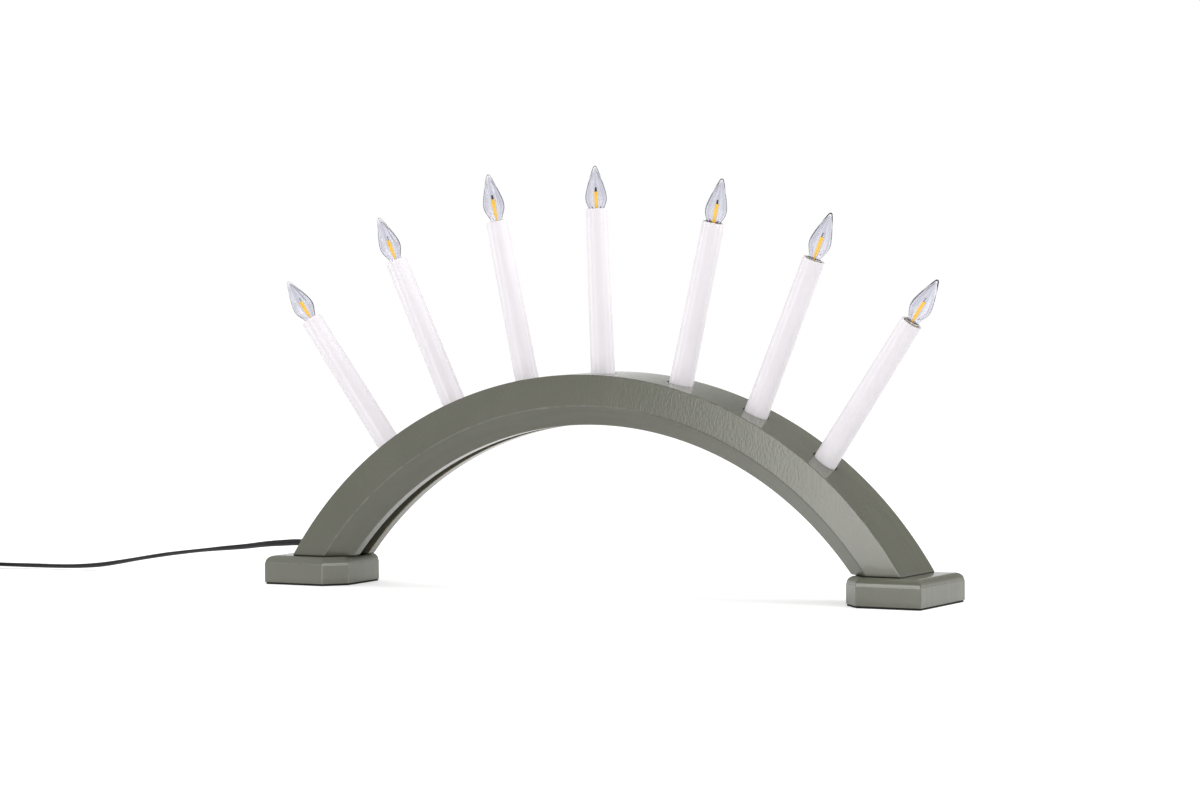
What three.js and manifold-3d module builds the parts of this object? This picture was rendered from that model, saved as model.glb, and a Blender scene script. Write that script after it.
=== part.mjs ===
// Electric candle arch: a painted wooden arch on two feet, with seven candle sleeves
// that each hold a small screw-in lamp, and a thin mains lead with its plug.
// Millimetres, +Z up. X runs along the span, the front looks along -Y, and the origin
// is on the table, in the middle between the feet.

import * as THREE from 'three';
import { mergeVertices } from 'three/addons/utils/BufferGeometryUtils.js';
import Module from 'manifold-3d';

const wasm = await Module();
wasm.setup();

// Fits
const CLEARANCE = 0.3;
const MERGE_DISTANCE = 1e-4;

// Arch
const ARCH_OUTER_RADIUS = 260;
const CROWN_HEIGHT = 141.3;
const ARCH_DEPTH = 51;
const ARCH_THICKNESS = 32.7;
const FRONT_FACE_HEIGHT = 20;
const INNER_FACE_WIDTH = 26.3;
const OUTER_EDGE_BREAK = 1.2;
const GROOVE_WIDTH = 10.6;
const GROOVE_DEPTH = 8.2;
const ARC_STEPS_PER_CIRCLE = 144;

// Feet, their pads and their screws
const PAD_THICKNESS = 1.2;
const PAD_INSET = 1;
const FOOT_HEIGHT = 17.5;
const FOOT_DEPTH = 67;
const FOOT_OUTER_OVERHANG = 16.9;
const FOOT_INNER_SETBACK = 0.2;
const FOOT_CHAMFER_LENGTH = 11.7;
const FOOT_CHAMFER_DEPTH = 13;
const FOOT_TOP_ROUND = 5;
const FOOT_ROUND_STEPS = 3;
const SCREW_DIAMETER = 4;
const SCREW_HEAD_DIAMETER = 8;
const SCREW_LENGTH = 36;
const SCREW_POINT = 5;
const SCREW_SINK = 2;
const SCREW_SPACING = 24;
const SCREW_INBOARD = 3.9;

// Candle sleeves: the spacing is measured along the arch's outer face, and each sleeve
// leans a little in its loose hole. Angles turn from +Z towards +X.
const CANDLE_SPACING = 56.5;
const CANDLE_LEAN_DEGREES = [1.4, 0, 0.6, -2.1, 0.6, -2.1, -3.1];
const SLEEVE_VISIBLE = 105;
const SLEEVE_WALL = 0.8;
const SLEEVE_TAPER = 0.85;
const SLEEVE_RIM_ROUND = 0.3;
const CANDLE_HOLE_DEPTH = 16;
const CANDLE_HOLE_PLAY = 0.8;
const WIRE_HOLE_DIAMETER = 7;

// Lamp holders and their sprung centre contacts
const HOLDER_RECESS = 1.5;
const HOLDER_WALL = 0.6;
const HOLDER_FLOOR = 1.6;
const HOLDER_TAIL_DIAMETER = 7.6;
const HOLDER_TAIL_WALL = 1.2;
const CONTACT_HEAD_DIAMETER = 4.4;
const CONTACT_HEAD_HEIGHT = 1;
const CONTACT_STEM_DIAMETER = 2;
const CONTACT_STEM_LENGTH = 9;
const CONTACT_STEM_SPARE = 1.7;

// Lamps: a screw cap, a flame-shaped glass with inner flutes and one filament.
// Some lamps stand a few turns out of their holders.
const THREAD_PITCH = 1.814;
const LAMP_TURNS_OUT = [2.25, 2.25, 2.25, 0, 0.5, 2.25, 2.5];
const CAP_DIAMETER = 9.4;
const CAP_LENGTH = 10.2;
const CAP_CONTACT_DIAMETER = 3.4;
const CAP_CONTACT_HEIGHT = 0.8;
const CAP_SHOULDER_HEIGHT = 2.4;
const CAP_WALL = 0.6;
const CAP_CUP_DEPTH = 4.3;
const CAP_SEAT_DEPTH = 2.2;
const GLASS_HEIGHT = 31;
const GLASS_DIAMETER = 14;
const GLASS_WALL = 0.9;
const GLASS_FLARE_SHARE = 0.42;
const GLASS_FLUTES = 8;
const GLASS_FLUTE_SHARE = 0.06;
const GLASS_RINGS = 8;
const FILAMENT_DIAMETER = 1.7;
const FILAMENT_LENGTH = 14.6;
const FILAMENT_STEM_DIAMETER = 1.1;
const FILAMENT_WIRE_DIAMETER = 0.7;
const FILAMENT_WIRE_LENGTH = 3;

// Wiring in the groove, and the strain relief in the left leg's outer face
const LOOM_DIAMETER = 3.6;
const RISER_DIAMETER = 2.6;
const LOOM_STEP_DEGREES = 5;
const RELIEF_ABOVE_FOOT = 7.4;
const RELIEF_DIAMETER = 7.4;
const RELIEF_END_DIAMETER = 5.4;
const RELIEF_TAPER = 13;
const RELIEF_PROUD = 12;
const RELIEF_GROOVE_GAP = 4;

// Mains lead. Its free run is given by the distance out from the strain relief, the distance
// back from the middle plane, and the height as a share of the relief's height.
const CORD_DIAMETER = 4.4;
const CORD_STEPS = 28;
const CORD_ROUTE = [
  [0.3, 0, 1], [6, 0, 0.992], [14, 0.2, 0.962], [28.5, 1, 0.891], [48, 3, 0.787],
  [70, 5.2, 0.686], [91, 7, 0.573], [113, 8.2, 0.448], [134, 8.8, 0.31], [152, 8.8, 0.184],
  [168, 8.5, 0.088], [185, 7.8, 0.029], [203, 6.6, 0.008], [221, 4.8, 0.008], [238, 2.4, 0.012],
  [252, -0.6, 0.025], [264.4, -3.9, 0.042],
];
const COIL_MIDDLE_RADIUS = 23.5;
const COIL_GAP = 0.5;
const COIL_LAYER_PAIRS = 2;
const COIL_ENTRY = [275.7, -7.4];
const COIL_ENTRY_DEGREES = 110;
const COIL_EXIT_DEGREES = 3690;
const COIL_STEPS_PER_TURN = 24;
const COIL_TAIL = 46;
const TIE_THICKNESS = 0.8;
const TIE_WIDTH = 6;
const TIE_DEGREES = -75;

// Flat two-pin plug
const PLUG_THICKNESS = 13.7;
const PLUG_FACE_WIDTH = 35;
const PLUG_WAIST_WIDTH = 22;
const PLUG_WAIST_SHARE = 0.45;
const PLUG_BACK_WIDTH = 14;
const PLUG_LENGTH = 36;
const PLUG_BEVEL = 1.6;
const PLUG_NECK_LENGTH = 14;
const PLUG_NECK_DIAMETER = 8.6;
const PIN_DIAMETER = 4;
const PIN_LENGTH = 19;
const PIN_SPACING = 18.6;

// Facets round a turned piece
const SLEEVE_SIDES = 16;
const LAMP_SIDES = 12;
const WIRE_SIDES = 6;
const CORD_SIDES = 8;
const HOLE_SIDES = 20;
const CURVE_DIVISIONS_PER_STEP = 12;

// Places that follow from the sizes above
const footTop = PAD_THICKNESS + FOOT_HEIGHT;
const arch = {
  centre: CROWN_HEIGHT - ARCH_OUTER_RADIUS,
  inner: ARCH_OUTER_RADIUS - ARCH_THICKNESS,
  chamfer: ARCH_OUTER_RADIUS - FRONT_FACE_HEIGHT,
};
arch.grooveFloor = arch.inner + GROOVE_DEPTH;
const legOuter = spanAt(ARCH_OUTER_RADIUS, footTop);
const legInner = spanAt(arch.inner, footTop);
const ledge = ARCH_OUTER_RADIUS - CANDLE_HOLE_DEPTH;
const sleeveLength = CANDLE_HOLE_DEPTH + SLEEVE_VISIBLE;
const capRadius = CAP_DIAMETER / 2;
const holder = {
  top: sleeveLength - HOLDER_RECESS,
  bore: capRadius + CLEARANCE,
  tail: HOLDER_TAIL_DIAMETER / 2,
};
holder.radius = holder.bore + HOLDER_WALL;
const sleeveTop = holder.radius + CLEARANCE + SLEEVE_WALL;
const sleeveFoot = sleeveTop + SLEEVE_TAPER;
const capSeat = holder.top - CAP_SEAT_DEPTH - CAP_LENGTH;
const contactSeat = capSeat - CLEARANCE - CONTACT_HEAD_HEIGHT;
holder.floorTop = contactSeat - CLEARANCE;
holder.floorBottom = holder.floorTop - HOLDER_FLOOR;
holder.bottom = contactSeat - CONTACT_STEM_LENGTH - CONTACT_STEM_SPARE - HOLDER_TAIL_WALL;
const cupRadius = capRadius - CAP_WALL;
const neckRadius = cupRadius - CLEARANCE;
const candles = CANDLE_LEAN_DEGREES.map(candlePlace);
const relief = { height: footTop + RELIEF_ABOVE_FOOT };
relief.tip = -spanAt(ARCH_OUTER_RADIUS, relief.height) - RELIEF_PROUD;
relief.inner = -spanAt(arch.grooveFloor, relief.height) - RELIEF_GROOVE_GAP;
relief.length = relief.inner - relief.tip;
const coil = coilSizes();

// Half the span of a circle round the arch's centre, at a height
function spanAt(radius, height) {
  return Math.sqrt(radius ** 2 - (height - arch.centre) ** 2);
}

// A point at a radius and an angle from the arch's centre
function onArch(radius, angle) {
  return new THREE.Vector3(radius * Math.sin(angle), 0, arch.centre + radius * Math.cos(angle));
}

// Where one candle stands: its hole is radial, and the sleeve leans about the hole's middle
function candlePlace(leanDegrees, index, all) {
  const lean = THREE.MathUtils.degToRad(leanDegrees);
  const hole = ((index - (all.length - 1) / 2) * CANDLE_SPACING) / ARCH_OUTER_RADIUS;
  const tilt = hole + lean;
  const lift = CLEARANCE + sleeveFoot * Math.sin(Math.abs(lean));
  const axis = new THREE.Vector3(Math.sin(tilt), 0, Math.cos(tilt));
  const pivot = onArch(ledge + lift + CANDLE_HOLE_DEPTH / 2, hole);
  const foot = pivot.addScaledVector(axis, -CANDLE_HOLE_DEPTH / 2);
  return { hole, tilt, axis, foot, out: LAMP_TURNS_OUT[index] * THREAD_PITCH };
}

// Sizes of the coil: the spiral's width comes from its steady pitch and the turns in a layer
function coilSizes() {
  const pitch = CORD_DIAMETER + COIL_GAP;
  const layers = 2 * COIL_LAYER_PAIRS;
  const start = THREE.MathUtils.degToRad(COIL_ENTRY_DEGREES);
  const sweep = THREE.MathUtils.degToRad(COIL_EXIT_DEGREES) - start;
  const layerSweep = sweep / layers;
  const width = (pitch * layerSweep) / (2 * Math.PI);
  const outer = COIL_MIDDLE_RADIUS + width / 2;
  const low = TIE_THICKNESS + CLEARANCE + CORD_DIAMETER / 2;
  const entry = new THREE.Vector3(relief.tip - COIL_ENTRY[0], COIL_ENTRY[1], low);
  const heading = new THREE.Vector3(-Math.sin(start), Math.cos(start), 0);
  const first = entry.clone().addScaledVector(heading, -CORD_DIAMETER);
  const toEntry = new THREE.Vector3(outer * Math.cos(start), outer * Math.sin(start), 0);
  const centre = entry.clone().sub(toEntry);
  return { pitch, layers, start, sweep, layerSweep, width, outer, heading, first, centre };
}

// Geometry with merged vertices, without a lathe's collapsed triangles, facing outwards
function closed(geometry) {
  const bare = geometry.clone();
  bare.deleteAttribute('normal');
  bare.deleteAttribute('uv');
  const merged = mergeVertices(bare, MERGE_DISTANCE);
  const corners = merged.index.array;
  const kept = [];
  for (let i = 0; i < corners.length; i += 3) {
    const [a, b, c] = corners.slice(i, i + 3);
    if (a !== b && b !== c && c !== a) kept.push(a, b, c);
  }
  if (signedVolume(merged.attributes.position, kept) < 0) kept.reverse();
  merged.setIndex(kept);
  return merged;
}

function signedVolume(position, corners) {
  const [a, b, c] = [new THREE.Vector3(), new THREE.Vector3(), new THREE.Vector3()];
  let sum = 0;
  for (let i = 0; i < corners.length; i += 3) {
    a.fromBufferAttribute(position, corners[i]);
    b.fromBufferAttribute(position, corners[i + 1]);
    c.fromBufferAttribute(position, corners[i + 2]);
    sum += a.dot(b.cross(c));
  }
  return sum / 6;
}

function solidOf(geometry) {
  const merged = closed(geometry);
  const vertProperties = new Float32Array(merged.attributes.position.array);
  const triVerts = new Uint32Array(merged.index.array);
  return new wasm.Manifold(new wasm.Mesh({ numProp: 3, vertProperties, triVerts }));
}

function geometryOf(solid) {
  const mesh = solid.getMesh();
  const geometry = new THREE.BufferGeometry();
  geometry.setAttribute('position', new THREE.Float32BufferAttribute(mesh.vertProperties, 3));
  geometry.setIndex(Array.from(mesh.triVerts));
  return geometry;
}

function cut(geometry, tools) {
  return geometryOf(tools.reduce((rest, tool) => rest.subtract(solidOf(tool)), solidOf(geometry)));
}

function join(geometries) {
  const [first, ...others] = geometries.map(solidOf);
  return geometryOf(others.reduce((sum, other) => sum.add(other), first));
}

// A turned piece: radius and height pairs, up the outside and down the inside, about +Z
function turned(profile, sides) {
  const points = profile.map(([radius, height]) => new THREE.Vector2(radius, height));
  return new THREE.LatheGeometry(points, sides).rotateX(Math.PI / 2);
}

// A round bar about +Z from one height to another
function bar(radius, low, high, sides = HOLE_SIDES) {
  return turned([[0, low], [radius, low], [radius, high], [0, high]], sides);
}

// A tube of straight sides carried along a smooth curve through the points
function tube(points, diameter, sides, steps) {
  const ring = [];
  for (let i = 0; i < sides; i += 1) {
    const angle = (2 * Math.PI * i) / sides;
    ring.push(new THREE.Vector2(Math.cos(angle), Math.sin(angle)).multiplyScalar(diameter / 2));
  }
  const extrudePath = new THREE.CatmullRomCurve3(points, false, 'centripetal');
  extrudePath.arcLengthDivisions = CURVE_DIVISIONS_PER_STEP * steps;
  return new THREE.ExtrudeGeometry(new THREE.Shape(ring), { steps, extrudePath });
}

// A block between rings of equally many points, each anticlockwise from above, low to high
function loft(rings) {
  const count = rings[0].length;
  const positions = rings.flat().flatMap((point) => point.toArray());
  const corners = [];
  for (let level = 0; level < rings.length - 1; level += 1) {
    for (let i = 0; i < count; i += 1) {
      const a = level * count + i;
      const b = level * count + ((i + 1) % count);
      corners.push(a, b, b + count, a, b + count, a + count);
    }
  }
  const top = (rings.length - 1) * count;
  for (let i = 1; i < count - 1; i += 1) {
    corners.push(0, i + 1, i, top, top + i, top + i + 1);
  }
  const geometry = new THREE.BufferGeometry();
  geometry.setAttribute('position', new THREE.Float32BufferAttribute(positions, 3));
  geometry.setIndex(corners);
  return geometry;
}

// A convex outline moved inwards by a distance, each corner along its two sides' normals
function inset(outline, distance) {
  const side = (from, to) => new THREE.Vector2(from.y - to.y, to.x - from.x).normalize();
  return outline.map((point, i) => {
    const before = side(outline.at(i - 1), point);
    const after = side(point, outline[(i + 1) % outline.length]);
    const share = distance / (1 + before.dot(after));
    return point.clone().addScaledVector(before.add(after), share);
  });
}

function ringAt(outline, height) {
  return outline.map((point) => new THREE.Vector3(point.x, point.y, height));
}

function smoothStep(value) {
  return THREE.MathUtils.smoothstep(value, 0, 1);
}

// Arch: a ring turned from its section, cut off above the feet, then drilled.
// The section has a flat outer face, deep chamfers inside and a wiring groove.
function archBody() {
  const half = ARCH_DEPTH / 2;
  const edge = OUTER_EDGE_BREAK;
  const slant = edge * (1 - Math.SQRT1_2);
  const right = [
    [ARCH_OUTER_RADIUS, half - edge],
    [ARCH_OUTER_RADIUS - slant, half - slant],
    [ARCH_OUTER_RADIUS - edge, half],
    [arch.chamfer, half],
    [arch.inner, INNER_FACE_WIDTH / 2],
    [arch.inner, GROOVE_WIDTH / 2],
    [arch.grooveFloor, GROOVE_WIDTH / 2],
  ];
  const left = right.map(([radius, side]) => [radius, -side]).reverse();
  const section = [...right, ...left, right[0]].map(([radius, side]) => new THREE.Vector2(radius, side));
  const ring = new THREE.LatheGeometry(section, ARC_STEPS_PER_CIRCLE).translate(0, 0, arch.centre);
  const reach = 2 * ARCH_OUTER_RADIUS;
  const below = new THREE.BoxGeometry(2 * reach, reach, reach).translate(0, 0, footTop - reach / 2);
  const drilled = candles.flatMap(({ hole }) => [
    bar(sleeveFoot + CANDLE_HOLE_PLAY, ledge, ARCH_OUTER_RADIUS + CANDLE_HOLE_DEPTH),
    bar(WIRE_HOLE_DIAMETER / 2, arch.inner, ARCH_OUTER_RADIUS, LAMP_SIDES),
  ].map((tool) => tool.rotateY(hole).translate(0, 0, arch.centre)));
  const groovePlace = spanAt(arch.inner + GROOVE_DEPTH / 2, relief.height);
  const cordHole = bar(RELIEF_DIAMETER / 2 + CLEARANCE, groovePlace, -relief.tip)
    .rotateY(-Math.PI / 2)
    .translate(0, 0, relief.height);
  const pilots = screwPlaces().map(([x, y]) =>
    bar(SCREW_DIAMETER / 2 + CLEARANCE, 0, screwFoot() + SCREW_LENGTH + CLEARANCE, LAMP_SIDES)
      .translate(x, y, 0));
  return cut(ring, [below, ...drilled, cordHole, ...pilots]);
}

function screwFoot() {
  return PAD_THICKNESS + SCREW_SINK;
}

function screwPlaces() {
  const x = (legInner + legOuter) / 2 - SCREW_INBOARD;
  return [-x, x].flatMap((across) => [-1, 1].map((end) => [across, (end * SCREW_SPACING) / 2]));
}

// A foot's outline from above: square outside, with its two inner corners cut off
function footOutline(side) {
  const near = legInner + FOOT_INNER_SETBACK;
  const far = legOuter + FOOT_OUTER_OVERHANG;
  const half = FOOT_DEPTH / 2;
  const front = [
    [near, half - FOOT_CHAMFER_DEPTH],
    [near + FOOT_CHAMFER_LENGTH, half],
    [far, half],
  ];
  const outline = [
    ...front.map(([x, y]) => new THREE.Vector2(side * x, -y)),
    ...front.reverse().map(([x, y]) => new THREE.Vector2(side * x, y)),
  ];
  return side > 0 ? outline : outline.reverse();
}

// Foot: a block with a quarter-round top edge, counterbored from below for its screws
function footBlock(side) {
  const outline = footOutline(side);
  const rings = [ringAt(outline, PAD_THICKNESS)];
  for (let i = 0; i <= FOOT_ROUND_STEPS; i += 1) {
    const angle = (Math.PI / 2) * (i / FOOT_ROUND_STEPS);
    const inwards = FOOT_TOP_ROUND * (1 - Math.cos(angle));
    const height = footTop - FOOT_TOP_ROUND * (1 - Math.sin(angle));
    rings.push(ringAt(inset(outline, inwards), height));
  }
  const headTop = screwFoot() + (SCREW_HEAD_DIAMETER - SCREW_DIAMETER) / 2 + CLEARANCE;
  const holes = screwPlaces().flatMap(([x, y]) => [
    bar(SCREW_HEAD_DIAMETER / 2 + CLEARANCE, 0, headTop, LAMP_SIDES).translate(x, y, 0),
    bar(SCREW_DIAMETER / 2 + CLEARANCE, 0, 2 * footTop, LAMP_SIDES).translate(x, y, 0),
  ]);
  return cut(loft(rings), holes);
}

function footPad(side) {
  const outline = inset(footOutline(side), PAD_INSET);
  return loft([ringAt(outline, 0), ringAt(outline, PAD_THICKNESS)]);
}

function footScrew() {
  const head = SCREW_HEAD_DIAMETER / 2;
  const shank = SCREW_DIAMETER / 2;
  return turned([
    [0, 0], [head, 0], [shank, head - shank], [shank, SCREW_LENGTH - SCREW_POINT], [0, SCREW_LENGTH],
  ], LAMP_SIDES);
}

// Candle sleeve: a thin tapered tube, open at both ends, with a rounded rim
function candleSleeve() {
  const round = SLEEVE_RIM_ROUND;
  return turned([
    [sleeveFoot, 0],
    [sleeveTop, sleeveLength - round],
    [sleeveTop - round, sleeveLength],
    [sleeveTop - SLEEVE_WALL + round, sleeveLength],
    [sleeveTop - SLEEVE_WALL, sleeveLength - round],
    [sleeveFoot - SLEEVE_WALL, 0],
    [sleeveFoot, 0],
  ], SLEEVE_SIDES);
}

// Lamp holder: a cup for the screw cap, over a narrower tail for the sprung contact's stem
function lampHolder() {
  const stemHole = CONTACT_STEM_DIAMETER / 2 + CLEARANCE;
  const tailBore = holder.tail - HOLDER_TAIL_WALL;
  return turned([
    [0, holder.bottom], [holder.tail, holder.bottom], [holder.tail, holder.floorBottom],
    [holder.radius, holder.floorBottom], [holder.radius, holder.top],
    [holder.bore, holder.top], [holder.bore, holder.floorTop],
    [stemHole, holder.floorTop], [stemHole, holder.floorBottom],
    [tailBore, holder.floorBottom], [tailBore, holder.bottom + HOLDER_TAIL_WALL],
    [0, holder.bottom + HOLDER_TAIL_WALL],
  ], LAMP_SIDES);
}

// Sprung contact: a stem through the holder's floor, with a round head under the lamp
function holderContact() {
  const stem = CONTACT_STEM_DIAMETER / 2;
  const head = CONTACT_HEAD_DIAMETER / 2;
  return turned([
    [0, -CONTACT_STEM_LENGTH], [stem, -CONTACT_STEM_LENGTH], [stem, 0],
    [head, 0], [head, CONTACT_HEAD_HEIGHT], [0, CONTACT_HEAD_HEIGHT],
  ], CORD_SIDES).translate(0, 0, contactSeat);
}

// Lamp cap: contact, shoulder and screw shell, with a cup in its top for the glass's neck
function lampCap() {
  const contact = CAP_CONTACT_DIAMETER / 2;
  return turned([
    [0, 0], [contact, 0], [contact, CAP_CONTACT_HEIGHT], [capRadius, CAP_SHOULDER_HEIGHT],
    [capRadius, CAP_LENGTH], [cupRadius, CAP_LENGTH],
    [cupRadius, CAP_LENGTH - CAP_CUP_DEPTH], [0, CAP_LENGTH - CAP_CUP_DEPTH],
  ], LAMP_SIDES).translate(0, 0, capSeat);
}

// The glass's outline from its neck to its tip: shares of the height above the cap, and radii
function glassOutline() {
  const full = GLASS_DIAMETER / 2;
  const flare = THREE.MathUtils.lerp(neckRadius, full, GLASS_FLARE_SHARE);
  const places = [
    [neckRadius, 0], [flare, 0.12], [0.95 * full, 0.22], [full, 0.34],
    [0.87 * full, 0.53], [0.62 * full, 0.73], [0.32 * full, 0.91], [0, 1],
  ];
  const points = places.map(([radius, share]) => new THREE.Vector2(radius, share * GLASS_HEIGHT));
  return new THREE.SplineCurve(points).getPoints(GLASS_RINGS).map(({ x, y }) => [Math.max(x, 0), y]);
}

// Lamp glass: a thin flame-shaped shell, open at its neck, with flutes down its inner wall
function lampGlass() {
  const outside = [[neckRadius, CLEARANCE - CAP_CUP_DEPTH], ...glassOutline()];
  const inside = outside
    .slice(0, -1)
    .map(([radius, height]) => [radius - GLASS_WALL, height])
    .reverse();
  const tip = [0, GLASS_HEIGHT - 2 * GLASS_WALL];
  const profile = [...outside, tip, ...inside, outside[0]];
  const points = profile.map(([radius, height]) => new THREE.Vector2(radius, height));
  const geometry = new THREE.LatheGeometry(points, 2 * GLASS_FLUTES);
  const place = geometry.attributes.position;
  const firstFluted = outside.length + 1;
  const lastFluted = profile.length - 4;
  for (let turn = 1; turn < 2 * GLASS_FLUTES; turn += 2) {
    for (let ring = firstFluted; ring <= lastFluted; ring += 1) {
      const i = turn * profile.length + ring;
      place.setX(i, place.getX(i) * (1 - GLASS_FLUTE_SHARE));
      place.setZ(i, place.getZ(i) * (1 - GLASS_FLUTE_SHARE));
    }
  }
  return geometry.rotateX(Math.PI / 2).translate(0, 0, capSeat + CAP_LENGTH);
}

// Filament: a stem from the cap's cup, the coated stick, and the end of its lead wire
function lampFilament() {
  const stem = FILAMENT_STEM_DIAMETER / 2;
  const stick = FILAMENT_DIAMETER / 2;
  const wire = FILAMENT_WIRE_DIAMETER / 2;
  const low = CLEARANCE - CAP_CUP_DEPTH;
  return turned([
    [0, low], [stem, low], [stem, 0], [stick, 0], [stick, FILAMENT_LENGTH],
    [wire, FILAMENT_LENGTH], [wire, FILAMENT_LENGTH + FILAMENT_WIRE_LENGTH],
    [0, FILAMENT_LENGTH + FILAMENT_WIRE_LENGTH],
  ], WIRE_SIDES).translate(0, 0, capSeat + CAP_LENGTH);
}

// Wiring loom: from the strain relief into the groove, along it, with a riser to each holder
function wiringLoom() {
  const radius = arch.grooveFloor - CLEARANCE - LOOM_DIAMETER / 2;
  const lowest = Math.acos((relief.height + LOOM_DIAMETER - arch.centre) / radius);
  const mouth = -spanAt(arch.grooveFloor, relief.height);
  const points = [
    new THREE.Vector3(relief.inner + CLEARANCE, 0, relief.height),
    new THREE.Vector3(mouth, 0, relief.height),
  ];
  const last = candles.at(-1).hole;
  const steps = Math.round(THREE.MathUtils.radToDeg(last + lowest) / LOOM_STEP_DEGREES);
  for (let i = 0; i <= steps; i += 1) {
    points.push(onArch(radius, THREE.MathUtils.lerp(-lowest, last, i / steps)));
  }
  const run = tube(points, LOOM_DIAMETER, WIRE_SIDES, 2 * points.length);
  const risers = candles.map(({ hole, tilt, foot }) => {
    const depth = (ledge - radius) / Math.cos(tilt - hole);
    return bar(RISER_DIAMETER / 2, -depth, holder.bottom - CLEARANCE, WIRE_SIDES)
      .rotateY(tilt)
      .translate(foot.x, foot.y, foot.z);
  });
  return join([run, ...risers]);
}

// Strain relief: a plug in the leg's hole that tapers down to the lead
function strainRelief() {
  const radius = RELIEF_DIAMETER / 2;
  return turned([
    [0, 0], [radius, 0], [radius, relief.length - RELIEF_TAPER],
    [RELIEF_END_DIAMETER / 2, relief.length], [0, relief.length],
  ], LAMP_SIDES)
    .rotateY(-Math.PI / 2)
    .translate(relief.inner, 0, relief.height);
}

// Lead: the free run of the cord, from the strain relief to the coil
function cordLead() {
  return tube(cordRoute(), CORD_DIAMETER, CORD_SIDES, CORD_STEPS);
}

function cordRoute() {
  const free = CORD_ROUTE.map(([out, back, rise]) => {
    const height = THREE.MathUtils.lerp(CORD_DIAMETER / 2, relief.height, rise);
    return new THREE.Vector3(relief.tip - out, back, height);
  });
  return [...free, coil.first.clone().addScaledVector(coil.heading, -CLEARANCE)];
}

// Coil: the cord winds in and out again at a steady rate, and climbs a layer in the half
// turn where it reverses. It starts with a straight diameter and ends in a tail to the plug.
function coilRoute() {
  const { pitch, layers, start, sweep, layerSweep, width, outer, heading, first, centre } = coil;
  const route = [first, first.clone().addScaledVector(heading, CORD_DIAMETER / 2)];
  const count = Math.round((COIL_STEPS_PER_TURN * sweep) / (2 * Math.PI));
  for (let i = 0; i <= count; i += 1) {
    const turn = (sweep * i) / count;
    const layer = Math.min(Math.floor(turn / layerSweep), layers - 1);
    const along = turn / layerSweep - layer;
    const inwards = layer % 2 === 0 ? along : 1 - along;
    const radius = outer - width * inwards;
    let height = 0;
    for (let climb = 1; climb < layers; climb += 1) {
      height += pitch * smoothStep((turn - climb * layerSweep) / Math.PI + 0.5);
    }
    const angle = start + turn;
    const place = new THREE.Vector3(radius * Math.cos(angle), radius * Math.sin(angle), height);
    route.push(place.add(centre));
  }
  const end = route.at(-1).clone();
  const out = new THREE.Vector3(-Math.sin(start + sweep), Math.cos(start + sweep), 0);
  const drop = end.z - PLUG_THICKNESS / 2;
  const tailSteps = Math.round(COIL_TAIL / CORD_DIAMETER);
  for (let i = 1; i <= tailSteps; i += 1) {
    const place = end.clone().addScaledVector(out, (COIL_TAIL * i) / tailSteps);
    place.z -= drop * smoothStep(i / tailSteps);
    route.push(place);
  }
  route.push(route.at(-1).clone().addScaledVector(out, CORD_DIAMETER));
  return route;
}

function cordCoil() {
  const route = coilRoute();
  return tube(route, CORD_DIAMETER, WIRE_SIDES, route.length - 1);
}

// The least space between two stretches of the coil that are half a turn or more apart
function leastCoilGap() {
  const route = coilRoute();
  let least = Infinity;
  for (let i = 0; i < route.length; i += 1) {
    for (let j = i + COIL_STEPS_PER_TURN / 2; j < route.length; j += 1) {
      least = Math.min(least, route[i].distanceTo(route[j]));
    }
  }
  return least - CORD_DIAMETER;
}

// Tie: a flat band round all the coil's turns at one place
function cordTie() {
  const around = CORD_DIAMETER / 2 + 2 * CLEARANCE;
  const low = TIE_THICKNESS;
  const high = coil.centre.z + (coil.layers - 1) * coil.pitch + CORD_DIAMETER / 2 + CLEARANCE;
  const near = COIL_MIDDLE_RADIUS - coil.width / 2 - around;
  const far = coil.outer + around;
  const frame = (grow) => [
    [near - grow, low - grow], [far + grow, low - grow], [far + grow, high + grow], [near - grow, high + grow],
  ].map(([x, y]) => new THREE.Vector2(x, y));
  const band = new THREE.Shape(frame(TIE_THICKNESS));
  band.holes.push(new THREE.Path(frame(0)));
  return new THREE.ExtrudeGeometry(band, { depth: TIE_WIDTH, bevelEnabled: false })
    .translate(0, 0, -TIE_WIDTH / 2)
    .rotateX(Math.PI / 2)
    .rotateZ(THREE.MathUtils.degToRad(TIE_DEGREES))
    .translate(coil.centre.x, coil.centre.y, 0);
}

// Plug body: a flat waisted grip that widens to its pin face, with a tapered neck for the cord
function plugBody() {
  const grip = new THREE.Shape();
  const back = PLUG_NECK_LENGTH;
  const face = back + PLUG_LENGTH - PLUG_BEVEL;
  const middle = back + PLUG_LENGTH * PLUG_WAIST_SHARE;
  const half = (width) => width / 2 - PLUG_BEVEL;
  grip.moveTo(back, -half(PLUG_BACK_WIDTH));
  grip.quadraticCurveTo(middle, -half(PLUG_WAIST_WIDTH), face, -half(PLUG_FACE_WIDTH));
  grip.lineTo(face, half(PLUG_FACE_WIDTH));
  grip.quadraticCurveTo(middle, half(PLUG_WAIST_WIDTH), back, half(PLUG_BACK_WIDTH));
  const body = new THREE.ExtrudeGeometry(grip, {
    depth: PLUG_THICKNESS - 2 * PLUG_BEVEL,
    bevelThickness: PLUG_BEVEL,
    bevelSize: PLUG_BEVEL,
    bevelSegments: 2,
    curveSegments: 6,
  }).translate(0, 0, PLUG_BEVEL - PLUG_THICKNESS / 2);
  const wide = PLUG_NECK_DIAMETER / 2;
  const neck = turned([
    [0, 0], [CORD_DIAMETER / 2 + CLEARANCE, 0], [wide, back], [wide, back + PLUG_BEVEL], [0, back + PLUG_BEVEL],
  ], LAMP_SIDES).rotateY(Math.PI / 2);
  return join([body, neck]);
}

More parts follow.
